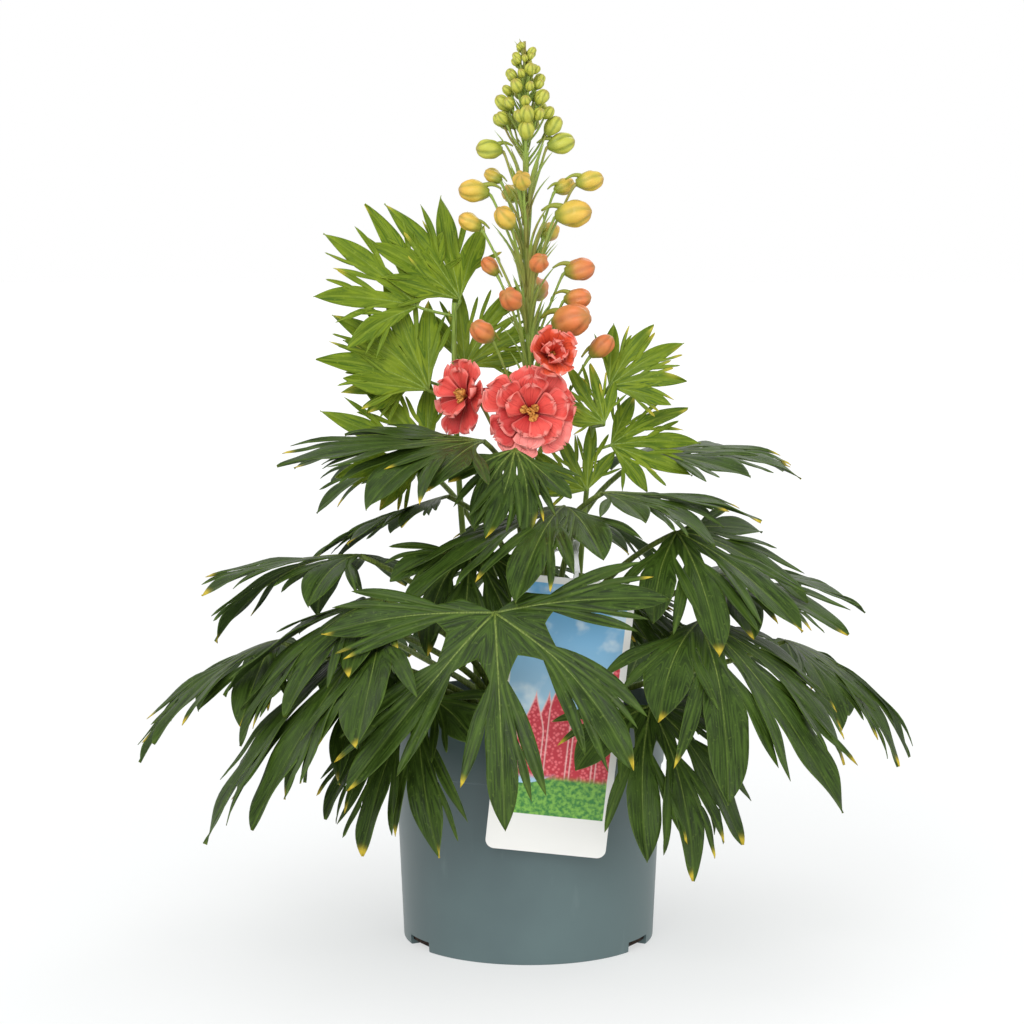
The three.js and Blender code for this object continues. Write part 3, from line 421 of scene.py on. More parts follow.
# ---- Basal leaves --------------------------------------------------------------------------------
# Twenty-five grown leaves stand on long stalks in the soil. Each is one thin arched sheet, cut into five
# long toothed lobes that hang outwards, with a rib beneath each lobe. The stalk runs on into the ribs.
LEAF_COLUMNS = ("azimuth", "root", "reach", "rise", "turn", "pitch", "roll", "spread", "size", "droop")
CLUMP = {
    "front_1": (-98, 29, 133, 102, 14, -55, 11, 98, 152, 0.003),
    "front_2": (-129, 33, 118, 87, -40, -33, 1, 72, 187, 0.004),
    "front_3": (-126, 40, 84, 40, -10, -45, 5, 80, 119, 0.01),
    "front_4": (-71, 19, 52, 160, -70, -6, 2, 68, 131, 0.0085),
    "front_5": (-115, 20, 71, 134, 19, -42, -10, 72, 87, 0.012),
    "front_6": (-98, 20, 47, 198, -3, -32, -8, 51, 74, 0.009),
    "right_1": (-42, 30, 120, 87, 0, -21, -2, 70, 158, 0.011),
    "right_2": (-56, 40, 102, 34, 6, -46, 0, 84, 118, 0.012),
    "right_3": (1, 32, 146, 58, 8, -12, 0, 72, 132, 0.012),
    "right_4": (-13, 20, 108, 108, 25, 5, 4, 83, 122, 0.01),
    "right_5": (15, 17, 70, 186, 16, 14, 1, 72, 116, 0.006),
    "right_6": (-46, 25, 46, 103, -14, -10, -1, 60, 82, 0.012),
    "right_7": (-35, 20, 100, 143, 2, -18, 16, 71, 119, 0.008),
    "right_8": (-45, 8, 61, 167, 36, 3, 0, 60, 106, 0.0065),
    "left_1": (-173, 30, 143, 62, -16, -12, 0, 85, 133, 0.012),
    "left_2": (-153, 20, 107, 126, -47, 2, 5, 84, 124, 0.0085),
    "left_3": (-118, 12, 52, 203, -36, 3, -7, 42, 146, 0.0035),
    "left_4": (-135, 29, 106, 102, -32, -12, 0, 62, 132, 0.009),
    "left_5": (-146, 34, 84, 56, -16, -30, 2, 73, 117, 0.012),
    "left_6": (-160, 7, 52, 162, -12, -13, 9, 58, 103, 0.0055),
    "back_1": (92, 32, 118, 92, 0, -18, 0, 116, 128, 0.012),
    "back_2": (136, 32, 126, 52, 0, -20, 0, 116, 128, 0.012),
    "back_3": (48, 32, 126, 52, 18, -20, 0, 94, 128, 0.012),
    "back_4": (80, 18, 80, 138, 0, 0, 0, 116, 110, 0.012),
    "back_5": (140, 16, 86, 176, -1, 4, -3, 116, 98, 0.009),
}
FOLD_REACH = 0.09
BLADE_THICKNESS = 0.45
# Half a lobe, as shares of the lobe's length and the leaf's size. Neighbouring lobes part at the sinus, and
# the outermost ones end at the notch. A row of the margin gives where the ruling to a spot leaves the rib,
# the spot along and across the lobe, and how far the stretch before it bulges: the waist, the upper end of
# the first tooth's base, the shoulder, the same for the second tooth, and the tip. A tooth is a strap of
# its own: the row that its base ends in, its tip, and how far its two sides bulge. So many of the second
# teeth are there.
GROWN = {
    "sinus": 0.22,
    "notch": 0.16,
    "margin": [
        (0.22, 0.33, 0.062, -0.05),
        (0.36, 0.47, 0.080, 0.0),
        (0.46, 0.60, 0.102, 0.03),
        (0.56, 0.71, 0.098, 0.0),
        (1.00, 1.00, 0.0, 0.16),
    ],
    "teeth": {2: (0.84, 0.245, 0.12, 0.12), 4: (0.90, 0.160, 0.12, 0.06)},
    "second": 0.4,
}
GROWN_LEAF = {"shape": GROWN, "lobes": 5, "width": 1.0, "fold": 0.16, "columns": 8, "rib_radius": 1.2}
SLIM_LOBED = {"front_1": {"width": 0.66}}  # the leaf before the label
MARGIN_STEPS = (5, 5, 6, 6, 4, 12)
TOOTH_ROWS = 13
BEND_STEPS = 12
WAVE = {"length": 8, "height": 2.2, "from": 0.2}  # the margin's, beyond a share of the leaf's size
DOME = {"slope": 0.1, "reach": 12}  # the blade rises away from each rib
GROOVE = {"depth": 0.4, "width": 1.3}  # and dips along it
YELLOWED = {"reach": 7, "rare": 0.75, "trace": 0.35}  # how far from a tip, and which tips, go yellow
BLADE_VALUES = ("rib", "along", "lobe", "edge", "yellow")
STALK = {"radius": 2.0, "flare": 1.3, "slim": 0.4, "sides": 10, "rings": 26, "sunk": 12.0, "arrive": 25}
RIB = {"rings": 14, "end": 0.8, "slim": 0.85, "sides": 6}
STALK_FINISH = 2  # stalks and ribs take the third finish, after a blade's upper side and underside


def draw(seed, item):
    """A draw from 0 to 1 that is always the same for the same numbers: what a large sine leaves over."""
    value = np.sin(seed * 12.9898 + item * 78.233) * 43758.5453
    return value - np.floor(value)


def unit(vectors):
    """Vectors of length 1."""
    return vectors / np.linalg.norm(vectors, axis=-1, keepdims=True)


def new_blade(leaf, centre):
    """A leaf's blade: its centre, its axes (along the middle rib, to the left, out of its upper face) and
    its lobes, which are shorter towards the stalk and differ a little in length, hang and sweep."""
    heading, pitch, roll = np.radians([leaf["turn"], leaf["pitch"], leaf["roll"]])
    out = np.array([np.cos(heading), np.sin(heading), 0])
    side = np.array([-np.sin(heading), np.cos(heading), 0])
    up = np.array([0.0, 0, 1])
    level = up * np.cos(pitch) - out * np.sin(pitch)
    share = np.linspace(-1, 1, leaf["lobes"])
    item = np.arange(leaf["lobes"])
    seed = leaf["seed"]
    return {
        **leaf,
        "centre": centre,
        "along": out * np.cos(pitch) + up * np.sin(pitch),
        "left": side * np.cos(roll) + level * np.sin(roll),
        "up": level * np.cos(roll) - side * np.sin(roll),
        "angle": np.radians(share * leaf["spread"]),
        "length": leaf["size"] * (1 - 0.3 * share**2) * (0.92 + 0.16 * draw(seed, item)),
        "droop": leaf["droop"] * (0.6 + 0.8 * draw(seed, item + 20)),
        "sweep": 0.5 * (draw(seed, item + 40) - 0.5),
    }


def rib_at(blade, angle, length):
    """Lines that leave the centre at the angles and bend to the ground, more slowly the closer they are to
    hanging: their points at the lengths, with the blade's left and upper directions there."""
    start = np.outer(np.cos(angle), blade["along"]) + np.outer(np.sin(angle), blade["left"])
    left = np.outer(np.cos(angle), blade["left"]) - np.outer(np.sin(angle), blade["along"])
    upper = np.broadcast_to(blade["up"], start.shape)
    place = (angle - blade["angle"][0]) / (blade["angle"][1] - blade["angle"][0])
    place = np.clip(place, 0, blade["lobes"] - 1)
    lobe = np.minimum(place.astype(int), blade["lobes"] - 2)
    ease = (1 - np.cos(np.pi * (place - lobe))) / 2
    droop = blade["droop"][lobe] * (1 - ease) + blade["droop"][lobe + 1] * ease
    fall = np.arccos(np.clip(-start[:, 2], -0.999, 0.999))
    down = unit(start * start[:, 2:] - np.array([0, 0, 1]))
    share = (np.arange(BEND_STEPS) + 0.5) / BEND_STEPS
    bends = fall[:, None] * (1 - np.exp(-(droop / fall * length)[:, None] * share))
    ahead, below = np.cos(bends).mean(1) * length, np.sin(bends).mean(1) * length
    point = blade["centre"] + start * ahead[:, None] + down * below[:, None]
    turn = (fall * (1 - np.exp(-droop * length / fall)))[:, None]
    axis = np.cross(start, down)

    def turned_over(vectors):
        """Vectors turned about the axis as far as the line has bent."""
        beside = axis * np.sum(axis * vectors, 1, keepdims=True) * (1 - np.cos(turn))
        return vectors * np.cos(turn) + np.cross(axis, vectors) * np.sin(turn) + beside

    return point, turned_over(left), turned_over(upper)


def on_blade(blade, lobe, along, across):
    """Points of the blade along a lobe's rib and across it: fanned out near the stalk, and a strip beyond,
    folded up from the rib and swept a little to one side."""
    distance = np.hypot(along, across)
    sinus = blade["shape"]["sinus"] * blade["size"]
    share = np.clip((distance - sinus) / (1.2 * sinus), 0, 1)
    strip = (share**2 * (3 - 2 * share))[:, None]
    angle = blade["angle"][lobe]
    fan, _, fan_up = rib_at(blade, angle + np.arctan2(across, along), distance)
    rib, left, rib_up = rib_at(blade, np.full_like(along, angle), along)
    offset = across + blade["sweep"][lobe] * np.maximum(0, along - sinus) ** 2 / blade["size"]
    wide = FOLD_REACH * blade["size"]
    rise = blade["fold"] * wide * np.tanh((np.sqrt(across**2 + 4) - 2) / wide)
    strip_points = rib + left * offset[:, None] + rib_up * rise[:, None]
    return fan * (1 - strip) + strip_points * strip, unit(fan_up * (1 - strip) + rib_up * strip)


def arc(start, end, bulge, share):
    """A quadratic arc between flat points that bulges to the left of its way by a share of its chord."""
    start, end = np.asarray(start, float), np.asarray(end, float)
    chord = end - start
    control = (start + end) / 2 + bulge * np.array([-chord[1], chord[0]])
    t = share[:, None]
    return (1 - t) ** 2 * start + 2 * t * (1 - t) * control + t**2 * end


def half_lobe(blade, lobe, side):
    """Flat grids of one half of a lobe in mm: the strap as rulings from rib to margin, and each tooth as a
    strap between its two arcs. Seeded draws vary the teeth. Each comes with how near it is to its margin,
    and the list of ribs and tips comes last."""
    shape, length, size = blade["shape"], blade["length"][lobe], blade["size"]
    width = size * blade["width"]
    half = (blade["angle"][1] - blade["angle"][0]) / 2
    outermost = (side < 0 and lobe == 0) or (side > 0 and lobe == blade["lobes"] - 1)
    radius = shape["notch" if outermost else "sinus"] * size
    jitter = 2 * draw(blade["seed"], 60 + 20 * lobe + 8 * (side > 0) + np.arange(5)) - 1
    keys = np.array(shape["margin"]) * (length, length, width, 1)
    sinus = (0.5 * shape["sinus"] * size * np.cos(half), radius * np.cos(half), radius * np.sin(half), 0)
    keys = np.concatenate([np.zeros((1, 4)), [sinus], keys])
    rows = [keys[:1, :3]]
    for before, key, count in zip(keys[:-1], keys[1:], MARGIN_STEPS):
        share = np.linspace(0, 1, count + 1)[1:]
        foot = before[0] + (key[0] - before[0]) * share
        rows.append(np.column_stack([foot, arc(before[1:3], key[1:3], key[3], share)]))
    rows = np.concatenate(rows)
    foot, reach, out = rows.T[:, :, None]
    share = np.linspace(0, 1, blade["columns"])
    free = np.ones(len(rows))
    grids, ribs, tips = [], [], [(length, 0.0)]
    ends = np.cumsum((0, *MARGIN_STEPS))
    for i, (end, (along, across, outer, inner)) in enumerate(shape["teeth"].items()):
        if i == 1 and draw(blade["seed"], 170 + 2 * lobe + side) > shape["second"]:
            continue
        first, last = ends[end], ends[end + 1]
        longer, wider = 1 + 0.05 * jitter[2 * i], 1 + 0.1 * jitter[2 * i + 1]
        tip = (along * length * longer, across * width * wider)
        base = rows[first : last + 1, 1:]
        u = np.linspace(0, 1, TOOTH_ROWS)
        v = np.linspace(0, 1, last - first + 1)[None, :, None]
        lower = arc(base[0], tip, outer, u)[:, None]
        upper = arc(base[-1], tip, -inner, u)[:, None]
        grid = upper * (1 - v) + lower * v
        near = np.maximum(np.abs(2 * v[0, :, 0] - 1) * (u[:, None] > 0), u[:, None] ** 8)
        grids.append((grid[..., 0], grid[..., 1], near))
        free[first + 1 : last] = 0
        middle = (base[0] + base[-1]) / 2
        ribs += [((0.6 * rows[first, 0], 0.0), middle), (middle, tip)]
        tips.append(tip)
    grids.append((foot + (reach - foot) * share, out * share, free[:, None] * share))
    return grids, ribs, tips


def to_segment(x, y, start, end):
    """How far flat points lie from a straight segment."""
    line = np.subtract(end, start)
    share = np.clip(((x - start[0]) * line[0] + (y - start[1]) * line[1]) / (line @ line), 0, 1)
    return np.hypot(x - start[0] - share * line[0], y - start[1] - share * line[1])


def welded(points, faces, values):
    """Points within a hundredth of a millimetre become one, and faces that lose a corner are dropped."""
    key = np.round(points * 100).astype(np.int64)
    _, first, index = np.unique(key, axis=0, return_index=True, return_inverse=True)
    faces = index.ravel()[faces]
    whole = np.all(faces != np.roll(faces, 1, axis=1), axis=1)
    return points[first], faces[whole], {key: value[first] for key, value in values.items()}


def sheet_shell(points, faces, thickness, values):
    """A sheet of triangles as a closed shell: a second sheet lies under it along its normals, and a rim
    joins them wherever an edge has one face only. The underside takes finish 1."""
    corner = points[faces]
    area = np.cross(corner[:, 1] - corner[:, 0], corner[:, 2] - corner[:, 0])
    normal = np.zeros_like(points)
    np.add.at(normal, faces.ravel(), np.repeat(area, 3, axis=0))
    count = len(points)
    edges = faces[:, [0, 1, 1, 2, 2, 0]].reshape(-1, 2)
    single = ~np.isin(edges[:, 0] * count + edges[:, 1], edges[:, 1] * count + edges[:, 0])
    a, b = edges[single].T
    rim = triangles(np.stack([a, a + count, b + count, b], -1))
    under = faces[:, ::-1] + count
    return {
        "points": np.concatenate([points, points - unit(normal) * thickness]),
        "faces": np.concatenate([faces, rim, under]),
        "finish": np.repeat([0, 1], [len(faces) + len(rim), len(under)]),
        "values": {key: np.tile(value, 2) for key, value in values.items()},
    }


def blade_part(blade):
    """The whole blade: the grids of every half lobe, bent into place, welded where they meet and
    thickened. Its values are the distance from the nearest rib, the way along the lobe, the half lobe's
    number, the share towards the margin and how yellow a tip has gone."""
    points, faces, values = [], [], {key: [] for key in BLADE_VALUES}
    start = 0
    for lobe, side in ((lobe, side) for lobe in range(blade["lobes"]) for side in (-1, 1)):
        grids, ribs, tips = half_lobe(blade, lobe, side)
        for along, across, near in grids:
            quads = triangles(grid_faces(*along.shape))
            faces.append((quads if side > 0 else quads[:, ::-1]) + start)
            along, across, near = along.ravel(), across.ravel(), near.ravel()
            sheet, normal = on_blade(blade, lobe, along, side * across)
            away = np.min([across, *(to_segment(along, across, *rib) for rib in ribs)], axis=0)
            spread = np.hypot(along, across) / blade["size"]
            swing = np.sin(along / WAVE["length"] + 6 * draw(blade["seed"], lobe) + side)
            wave = swing * near**2 * np.clip(spread - WAVE["from"], 0, 1)
            dome = DOME["slope"] * np.minimum(away, DOME["reach"]) * np.clip(3 * spread - 0.6, 0, 1)
            groove = GROOVE["depth"] * np.exp(-((away / GROOVE["width"]) ** 2))
            sheet = sheet + normal * (dome - groove + WAVE["height"] * wave)[:, None]
            yellow = np.zeros_like(along)
            for i, tip in enumerate(tips):
                chance = draw(blade["seed"], 200 + 10 * lobe + 3 * i + side)
                close = np.exp(-np.hypot(along - tip[0], across - tip[1]) / YELLOWED["reach"])
                gone = close * (chance > YELLOWED["rare"]) + YELLOWED["trace"] * close**2
                yellow = np.maximum(yellow, gone)
            start += len(sheet)
            points.append(sheet)
            number = np.full_like(along, 2 * lobe + side)
            for key, value in zip(BLADE_VALUES, (away, along, number, near, yellow)):
                values[key].append(value)
    values = {key: np.concatenate(value) for key, value in values.items()}
    points, faces, values = welded(np.concatenate(points), np.concatenate(faces), values)
    return sheet_shell(points, faces, BLADE_THICKNESS, values)


def swept(path, radius, sides, side, finish=0, **values):
    """A tube: rings stand square to the path, start from the given side and are as wide as the radius.
    The radius and the named values come as one number, one a ring or one a corner. Both ends close in a
    point on the path."""
    path = np.asarray(path, float)
    ahead = unit(np.gradient(path, axis=0))
    across = unit(side - ahead * (ahead @ np.asarray(side, float))[:, None])
    third = np.cross(ahead, across)
    turn = np.arange(sides) * 2 * np.pi / sides
    shape = (len(path), sides)
    radius = np.broadcast_to(np.reshape(radius, (-1, 1)) if np.ndim(radius) == 1 else radius, shape)
    ring = across[:, None] * np.cos(turn)[:, None] + third[:, None] * np.sin(turn)[:, None]
    points = (path[:, None] + radius[..., None] * ring).reshape(-1, 3)
    first = np.arange(sides)
    after = np.roll(first, -1)
    last = first + (len(path) - 1) * sides
    start = np.full(sides, len(points))
    fans = [np.stack([start, after, first], -1), np.stack([start + 1, last, after + last[0]], -1)]
    quads = grid_faces(len(path), sides, closed=True)[:, ::-1]
    given = {}
    for key, value in values.items():
        value = np.reshape(value, (-1, 1)) if np.ndim(value) == 1 else value
        value = np.broadcast_to(value, shape)
        given[key] = np.concatenate([value.ravel(), [value[0].mean(), value[-1].mean()]])
    return {
        "points": np.concatenate([points, path[[0, -1]]]),
        "faces": np.concatenate([triangles(quads), *fans]),
        "finish": finish,
        "values": given,
    }


def bezier(points, share):
    """A cubic Bezier line through its first and last point."""
    a, b, c, d = (np.asarray(point, float) for point in points)
    t = np.asarray(share)[:, None]
    return (1 - t) ** 3 * a + 3 * t * (1 - t) ** 2 * b + 3 * t**2 * (1 - t) * c + t**3 * d


def rib_tubes(blade):
    """The ribs that stand out under each lobe: half sunk tubes that thin out towards the tip."""
    tubes = []
    for lobe in range(blade["lobes"]):
        length = np.linspace(0, RIB["end"], RIB["rings"]) * blade["length"][lobe]
        point, normal = on_blade(blade, lobe, length, np.zeros_like(length))
        size = blade["rib_radius"] * (1 - RIB["slim"] * length / length[-1])
        path = point - normal * (0.5 + 0.45 * size)[:, None]
        tubes.append(swept(path, size, RIB["sides"], normal[0], STALK_FINISH))
    return tubes


def about_z(angle):
    """Rows that turn points round the upright axis by an angle in radians."""
    return np.array([(np.cos(angle), np.sin(angle), 0), (-np.sin(angle), np.cos(angle), 0), (0, 0, 1)])


def moved(parts, shift, turn=np.eye(3)):
    """The parts, turned by the rows of turn and then shifted."""
    return [{**part, "points": part["points"] @ turn + shift} for part in parts]


def basal_leaf(leaf):
    """A whole leaf: its stalk rises out of the soil, leans out and runs on under the middle rib."""
    centre = np.array([leaf["reach"], 0.0, leaf["rise"]])
    blade = new_blade(leaf, centre)
    reach = np.linalg.norm(centre)
    arrive = np.radians(STALK["arrive"])
    ahead = np.array([np.cos(arrive), 0, np.sin(arrive)])
    line = [(0, 0, 0), (0.01 * reach, 0, 0.45 * leaf["rise"]), centre - 0.4 * reach * ahead]
    line.append(centre - blade["up"] * 0.6 * STALK["radius"])
    share = np.linspace(0, 1, STALK["rings"])
    path = np.concatenate([[(0, 0, -STALK["sunk"])], bezier(line, share)])
    radius = STALK["radius"] * (STALK["flare"] - STALK["slim"] * np.concatenate([[0], share]))
    stalk = swept(path, radius, STALK["sides"], (0, 1, 0), STALK_FINISH)
    turn = about_z(np.radians(leaf["azimuth"]))
    root = turn[0] * leaf["root"] + (0, 0, SOIL_TOP)
    return moved([blade_part(blade), stalk, *rib_tubes(blade)], root, turn)


def value_of(tree, name):
    """One of the piece's own named values."""
    return node(tree, "ShaderNodeAttribute", out="Fac", attribute_name=name)


def maths(tree, operation, *values):
    """Arithmetic on values and sockets."""
    return node(tree, "ShaderNodeMath", dict(enumerate(values)), operation=operation)


def coats(tree, base, *layers):
    """A colour with layers over it: each is a factor and the colour that shows where the factor is 1."""
    for factor, colour in layers:
        base = mix(tree, factor, base, colour)
    return base


def leaf_skin(name, deep, light, vein, tip, roughness, clear):
    """A leaf's skin: streaks run beside the ribs, with a pale line on each rib, as clear as given, a paler
    margin and yellow where a tip has gone over. The streaks are noise stretched along the lobe."""
    finish, tree, shader = new_finish(name, roughness, 0.15)
    rib, along, lobe, edge, yellow = (value_of(tree, key) for key in BLADE_VALUES)
    way = maths(tree, "MULTIPLY", along, 0.07)
    streak = noise(tree, node(tree, "ShaderNodeCombineXYZ", {"X": rib, "Y": way, "Z": lobe}), 0.8, 3)
    colour = coats(
        tree,
        mix(tree, step_up(tree, streak, 0.3, 0.72), deep, light),
        (step_up(tree, mottle(tree, 28, 3), 0.4, 0.8, 0, 0.45), light),
        (step_up(tree, rib, 0.2, 1.2, clear, 0), vein),
        (step_up(tree, edge, 0.93, 1.0, 0, 0.35), vein),
        (step_up(tree, mottle(tree, 420, 2), 0.6, 0.75, 0, 0.35), vein),
        (step_up(tree, yellow, 0.25, 0.8), tip),
    )
    gloss = step_up(tree, streak, 0.3, 0.7, roughness - 0.07, roughness + 0.1)
    tree.links.new(gloss, shader.inputs["Roughness"])
    cover(tree, shader, colour, streak, 0.0009, 0.6)
    return finish


def stalk_skin(name, deep, pale):
    """A stalk's skin: satin green with fine lengthwise ribs, deeper and paler by turns."""
    finish, tree, shader = new_finish(name, 0.5, 0.35)
    streak = mottle(tree, 900, 3, (1, 1, 0.04))
    cover(tree, shader, mix(tree, step_up(tree, streak, 0.3, 0.7), deep, pale), streak, 0.0003, 0.5)
    return finish


leaf_finishes = [
    leaf_skin("grown_leaf_upper", "1b2a09", "3b5219", "5d742c", "b9a433", 0.42, 0.3),
    leaf_skin("grown_leaf_under", "2f421a", "43592a", "6d8341", "b19f3e", 0.6, 0.6),
    stalk_skin("leaf_stalk", "48591f", "6f8034"),
]
for i, (key, row) in enumerate(CLUMP.items()):
    leaf = {**GROWN_LEAF, **SLIM_LOBED.get(key, {}), **dict(zip(LEAF_COLUMNS, row)), "seed": i + 1}
    piece = mesh_piece(f"cut_leaf_{key}", basal_leaf(leaf), leaf_finishes)
    dress(piece, "grown_leaf", f"leaf_{key}")

# ---- Leafy side shoots ---------------------------------------------------------------------------
# Two young shoots stand behind the flower stem. Each is a bent green stem with fresh, yellow-green cut
# leaves on short stalks, whose narrow teeth end in long points.
SHOOTS = {
    "left": {
        "stem": [(-34, 14, -12), (-34, 14, 10), (-40, 14, 70), (-47, 10, 150), (-51, 3, 240), (-51, -2, 292)],
        "radius": 2.6,
        "leaves": [
            (0.99, 190, 25, 7, 190, 45, -72, 64, 82),
            (0.80, -142, 22, 6, 180, 50, -74, 40, 86),
            (0.82, 170, 24, 8, 180, 14, -68, 44, 64),
            (0.66, -155, 22, 4, 182, 24, -70, 66, 78),
            (1, 60, 8, 8, 175, 60, -58, 44, 84),
            (0.85, 60, 14, 6, 14, 66, 74, 54, 64),
        ],
    },
    "right": {
        "stem": [(28, 4, -12), (28, 4, 10), (33, 4, 70), (38, 2, 140), (46, -2, 228)],
        "radius": 2.4,
        "leaves": [
            (1, -20, 10, 12, 4, 38, 70, 50, 62),
            (0.93, -70, 22, 4, 176, 56, -62, 50, 46),
            (0.86, 5, 14, 4, 5, 8, 56, 60, 66),
            (0.74, -90, 14, 2, 176, 64, -66, 60, 52),
        ],
    },
}
SHOOT_COLUMNS = ("at", "azimuth", "reach", "rise", "turn", "pitch", "roll", "spread", "size")
YOUNG_STALK = 1.1
YOUNG_SHAPE = {
    "sinus": 0.24,
    "notch": 0.18,
    "margin": [
        (0.28, 0.42, 0.073, 0.0),
        (0.38, 0.53, 0.090, 0.0),
        (0.50, 0.64, 0.090, 0.02),
        (0.58, 0.72, 0.080, 0.0),
        (1.00, 1.00, 0.0, 0.07),
    ],
    "teeth": {2: (0.80, 0.215, 0.10, 0.08), 4: (0.88, 0.135, 0.08, 0.04)},
    "second": 0.3,
}
YOUNG = {
    "shape": YOUNG_SHAPE,
    "lobes": 5,
    "width": 1.0,
    "fold": 0.1,
    "droop": 0.004,
    "columns": 6,
    "rib_radius": 0.7,
}
UPRIGHT = np.array([0.0, 0.0, 1.0])


def spline(points, steps=60):
    """A smooth line through all the points: cubic stretches whose slopes come from the neighbours, weighed
    by the square root of their distance (centripetal Catmull-Rom)."""
    points = np.asarray(points, float)
    points = np.concatenate([[2 * points[0] - points[1]], points, [2 * points[-1] - points[-2]]])
    t = np.linspace(0, 1, steps, endpoint=False)[:, None]
    rows = []
    for a, b, c, d in zip(points, points[1:], points[2:], points[3:]):
        chords = ((a, b), (b, c), (c, d))
        before, here, after = (np.sqrt(np.linalg.norm(end - start)) for start, end in chords)
        leave = ((b - a) / before - (c - a) / (before + here) + (c - b) / here) * here
        arrive = ((c - b) / here - (d - b) / (here + after) + (d - c) / after) * here
        square = 3 * (c - b) - 2 * leave - arrive
        rows.append(b + t * leave + t**2 * square + t**3 * (2 * (b - c) + leave + arrive))
    return np.concatenate([*rows, points[-2:-1]])


def at_share(line, share):
    """Points at shares of a line's length."""
    length = np.concatenate([[0], np.cumsum(np.linalg.norm(np.diff(line, axis=0), axis=1))])
    place = np.asarray(share) * length[-1]
    return np.stack([np.interp(place, length, line[:, k]) for k in range(3)], -1)


def bearing(azimuth, lift):
    """A direction from an azimuth round the plant and a lift above the horizon."""
    turn, rise = np.radians([azimuth, lift])
    return np.array([np.cos(rise) * np.cos(turn), np.cos(rise) * np.sin(turn), np.sin(rise)])


def leafy_shoot(shoot, number):
    """A shoot: its stem, and for each leaf a stalk bowed outwards that runs on under the middle rib."""
    line = spline(shoot["stem"])
    share = np.linspace(0, 1, 60)
    radius = shoot["radius"] * (1 - 0.35 * share)
    parts = [swept(at_share(line, share), radius, 12, (0, 1, 0), STALK_FINISH)]
    share = np.linspace(0, 1, 16)
    radius = YOUNG_STALK * np.interp(share, [0, 0.75, 1], [1, 1, 0.4])
    for i, row in enumerate(shoot["leaves"]):
        leaf = {**YOUNG, "seed": 40 * (number + 1) + i, **dict(zip(SHOOT_COLUMNS, row))}
        out = bearing(leaf["azimuth"], 0)
        start = at_share(line, [leaf["at"] * 0.98])[0]
        centre = start + out * leaf["reach"] + UPRIGHT * leaf["rise"]
        blade = new_blade(leaf, centre)
        middle = (start + centre) / 2 + out * 0.12 * leaf["reach"]
        end = centre + blade["along"] * 0.12 * leaf["size"] - blade["up"] * 0.5
        path = at_share(spline([start, middle, centre - blade["up"] * 0.9, end]), share)
        parts.append(swept(path, radius, 8, blade["left"], STALK_FINISH))
        parts += [blade_part(blade), *rib_tubes(blade)]
    return moved(parts, UPRIGHT * SOIL_TOP)


young_finishes = [
    leaf_skin("young_leaf_upper", "3c580c", "70841a", "899a34", "aba43c", 0.5, 0.25),
    leaf_skin("young_leaf_under", "4d641d", "708430", "8d9c4b", "aba43c", 0.62, 0.4),
    stalk_skin("shoot_stem", "5b7426", "829740"),
]
for number, (key, shoot) in enumerate(SHOOTS.items()):
    piece = mesh_piece(f"leafy_shoot_{key}", leafy_shoot(shoot, number), young_finishes)
    dress(piece, "young_leaf", f"shoot_{key}")

# ---- Flower stem and buds ------------------------------------------------------------------------
# One upright stem with its buds on long stalks: green-yellow and close at the tip, yellow and orange lower
# down, each of five folded sepals with a short spur. Narrow bracts stand round the foot of each stalk.
STEM_LINE = [(2, 0, -12), (2, 0, 12), (2, -2, 110), (0, -8, 260), (-3, -18, 400), (-3, -20, 468)]
STEM = {"length": 468, "radius": 4, "tip": 0.9}
# Buds: height above the soil, azimuth and reach of the bud's middle from the stem, size and lift.
BUDS = [
    (263, -8, 50, 20, 40),
    (296, -20, 36, 19, 5),
    (282, -40, 38, 30, 12),
    (274, -141, 40, 20, 35),
    (296, -112, 30, 21, 25),
    (320, -72, 25, 18, 25),
    (315, 5, 36, 21, 10),
    (317, 165, 26, 15, 50),
    (300, 80, 38, 22, 20),
    (350, -130, 22, 19, 45),
    (347, 183, 38, 17, 30),
    (353, -12, 33, 25, 8),
    (375, 5, 44, 19, 10),
    (371, 30, 31, 16, 20),
    (340, 60, 32, 18, 20),
    (368, 176, 35, 21, 8),
    (375, -97, 18, 17, 30),
    (378, 150, 25, 14, 30),
    (366, 110, 28, 17, 20),
    (396, 184, 24, 18, 5),
    (400, 8, 25, 19, 12),
    (409, -85, 13, 15, 60),
]
TIP_BUDS = {"count": 15, "from": 410, "to": 464, "reach": (18, 3), "size": (15, 7), "lift": 50}
TIP_SETS = ((TIP_BUDS["count"], 0, 0.92), (44, 0.5, 0.66))  # how many buds, their shift and their scale
TIP_STALK = 0.75
GOLDEN_ANGLE = 137.5
PEDICEL = {"radius": 1.0, "drop": 26, "per_reach": 1.35, "knee": 0.62, "rise": 0.1}
RIPE = {"from": 402, "over": 120}  # buds ripen from this height downwards, over so many millimetres
BRACTS = ((0, 0, 26, 12), (-4, 60, 30, 14), (6, -70, 30, 14))  # rise, turn, least length, what a draw adds
SEPAL_CREASE = 0.17
BUD_OUTLINE = [(0, 0.35, 0), (0.3, 0.88, 0), (0.6, 1.0, 0), (0.84, 0.78, 0), (0.97, 0.36, 0), (1, 0.1, 0)]
BUD_ROUNDNESS = 0.37
BUD_RINGS = 18
BUD_SIDES = 30
SEPALS = 5

stem_line = spline(STEM_LINE)


def stem_at(height):
    """The stem's centre at a height above the soil, or at each of several."""
    return np.stack([np.interp(height, stem_line[:, 2], stem_line[:, k]) for k in range(3)], -1)


def pedicel_line(end, reach):
    """The line of a flower stalk: steeply up beside the stem, then out to its end."""
    foot = stem_at(end[2] - PEDICEL["drop"] - PEDICEL["per_reach"] * reach)
    return [foot, foot + (end - foot) * PEDICEL["knee"] + UPRIGHT * PEDICEL["rise"] * reach, end]


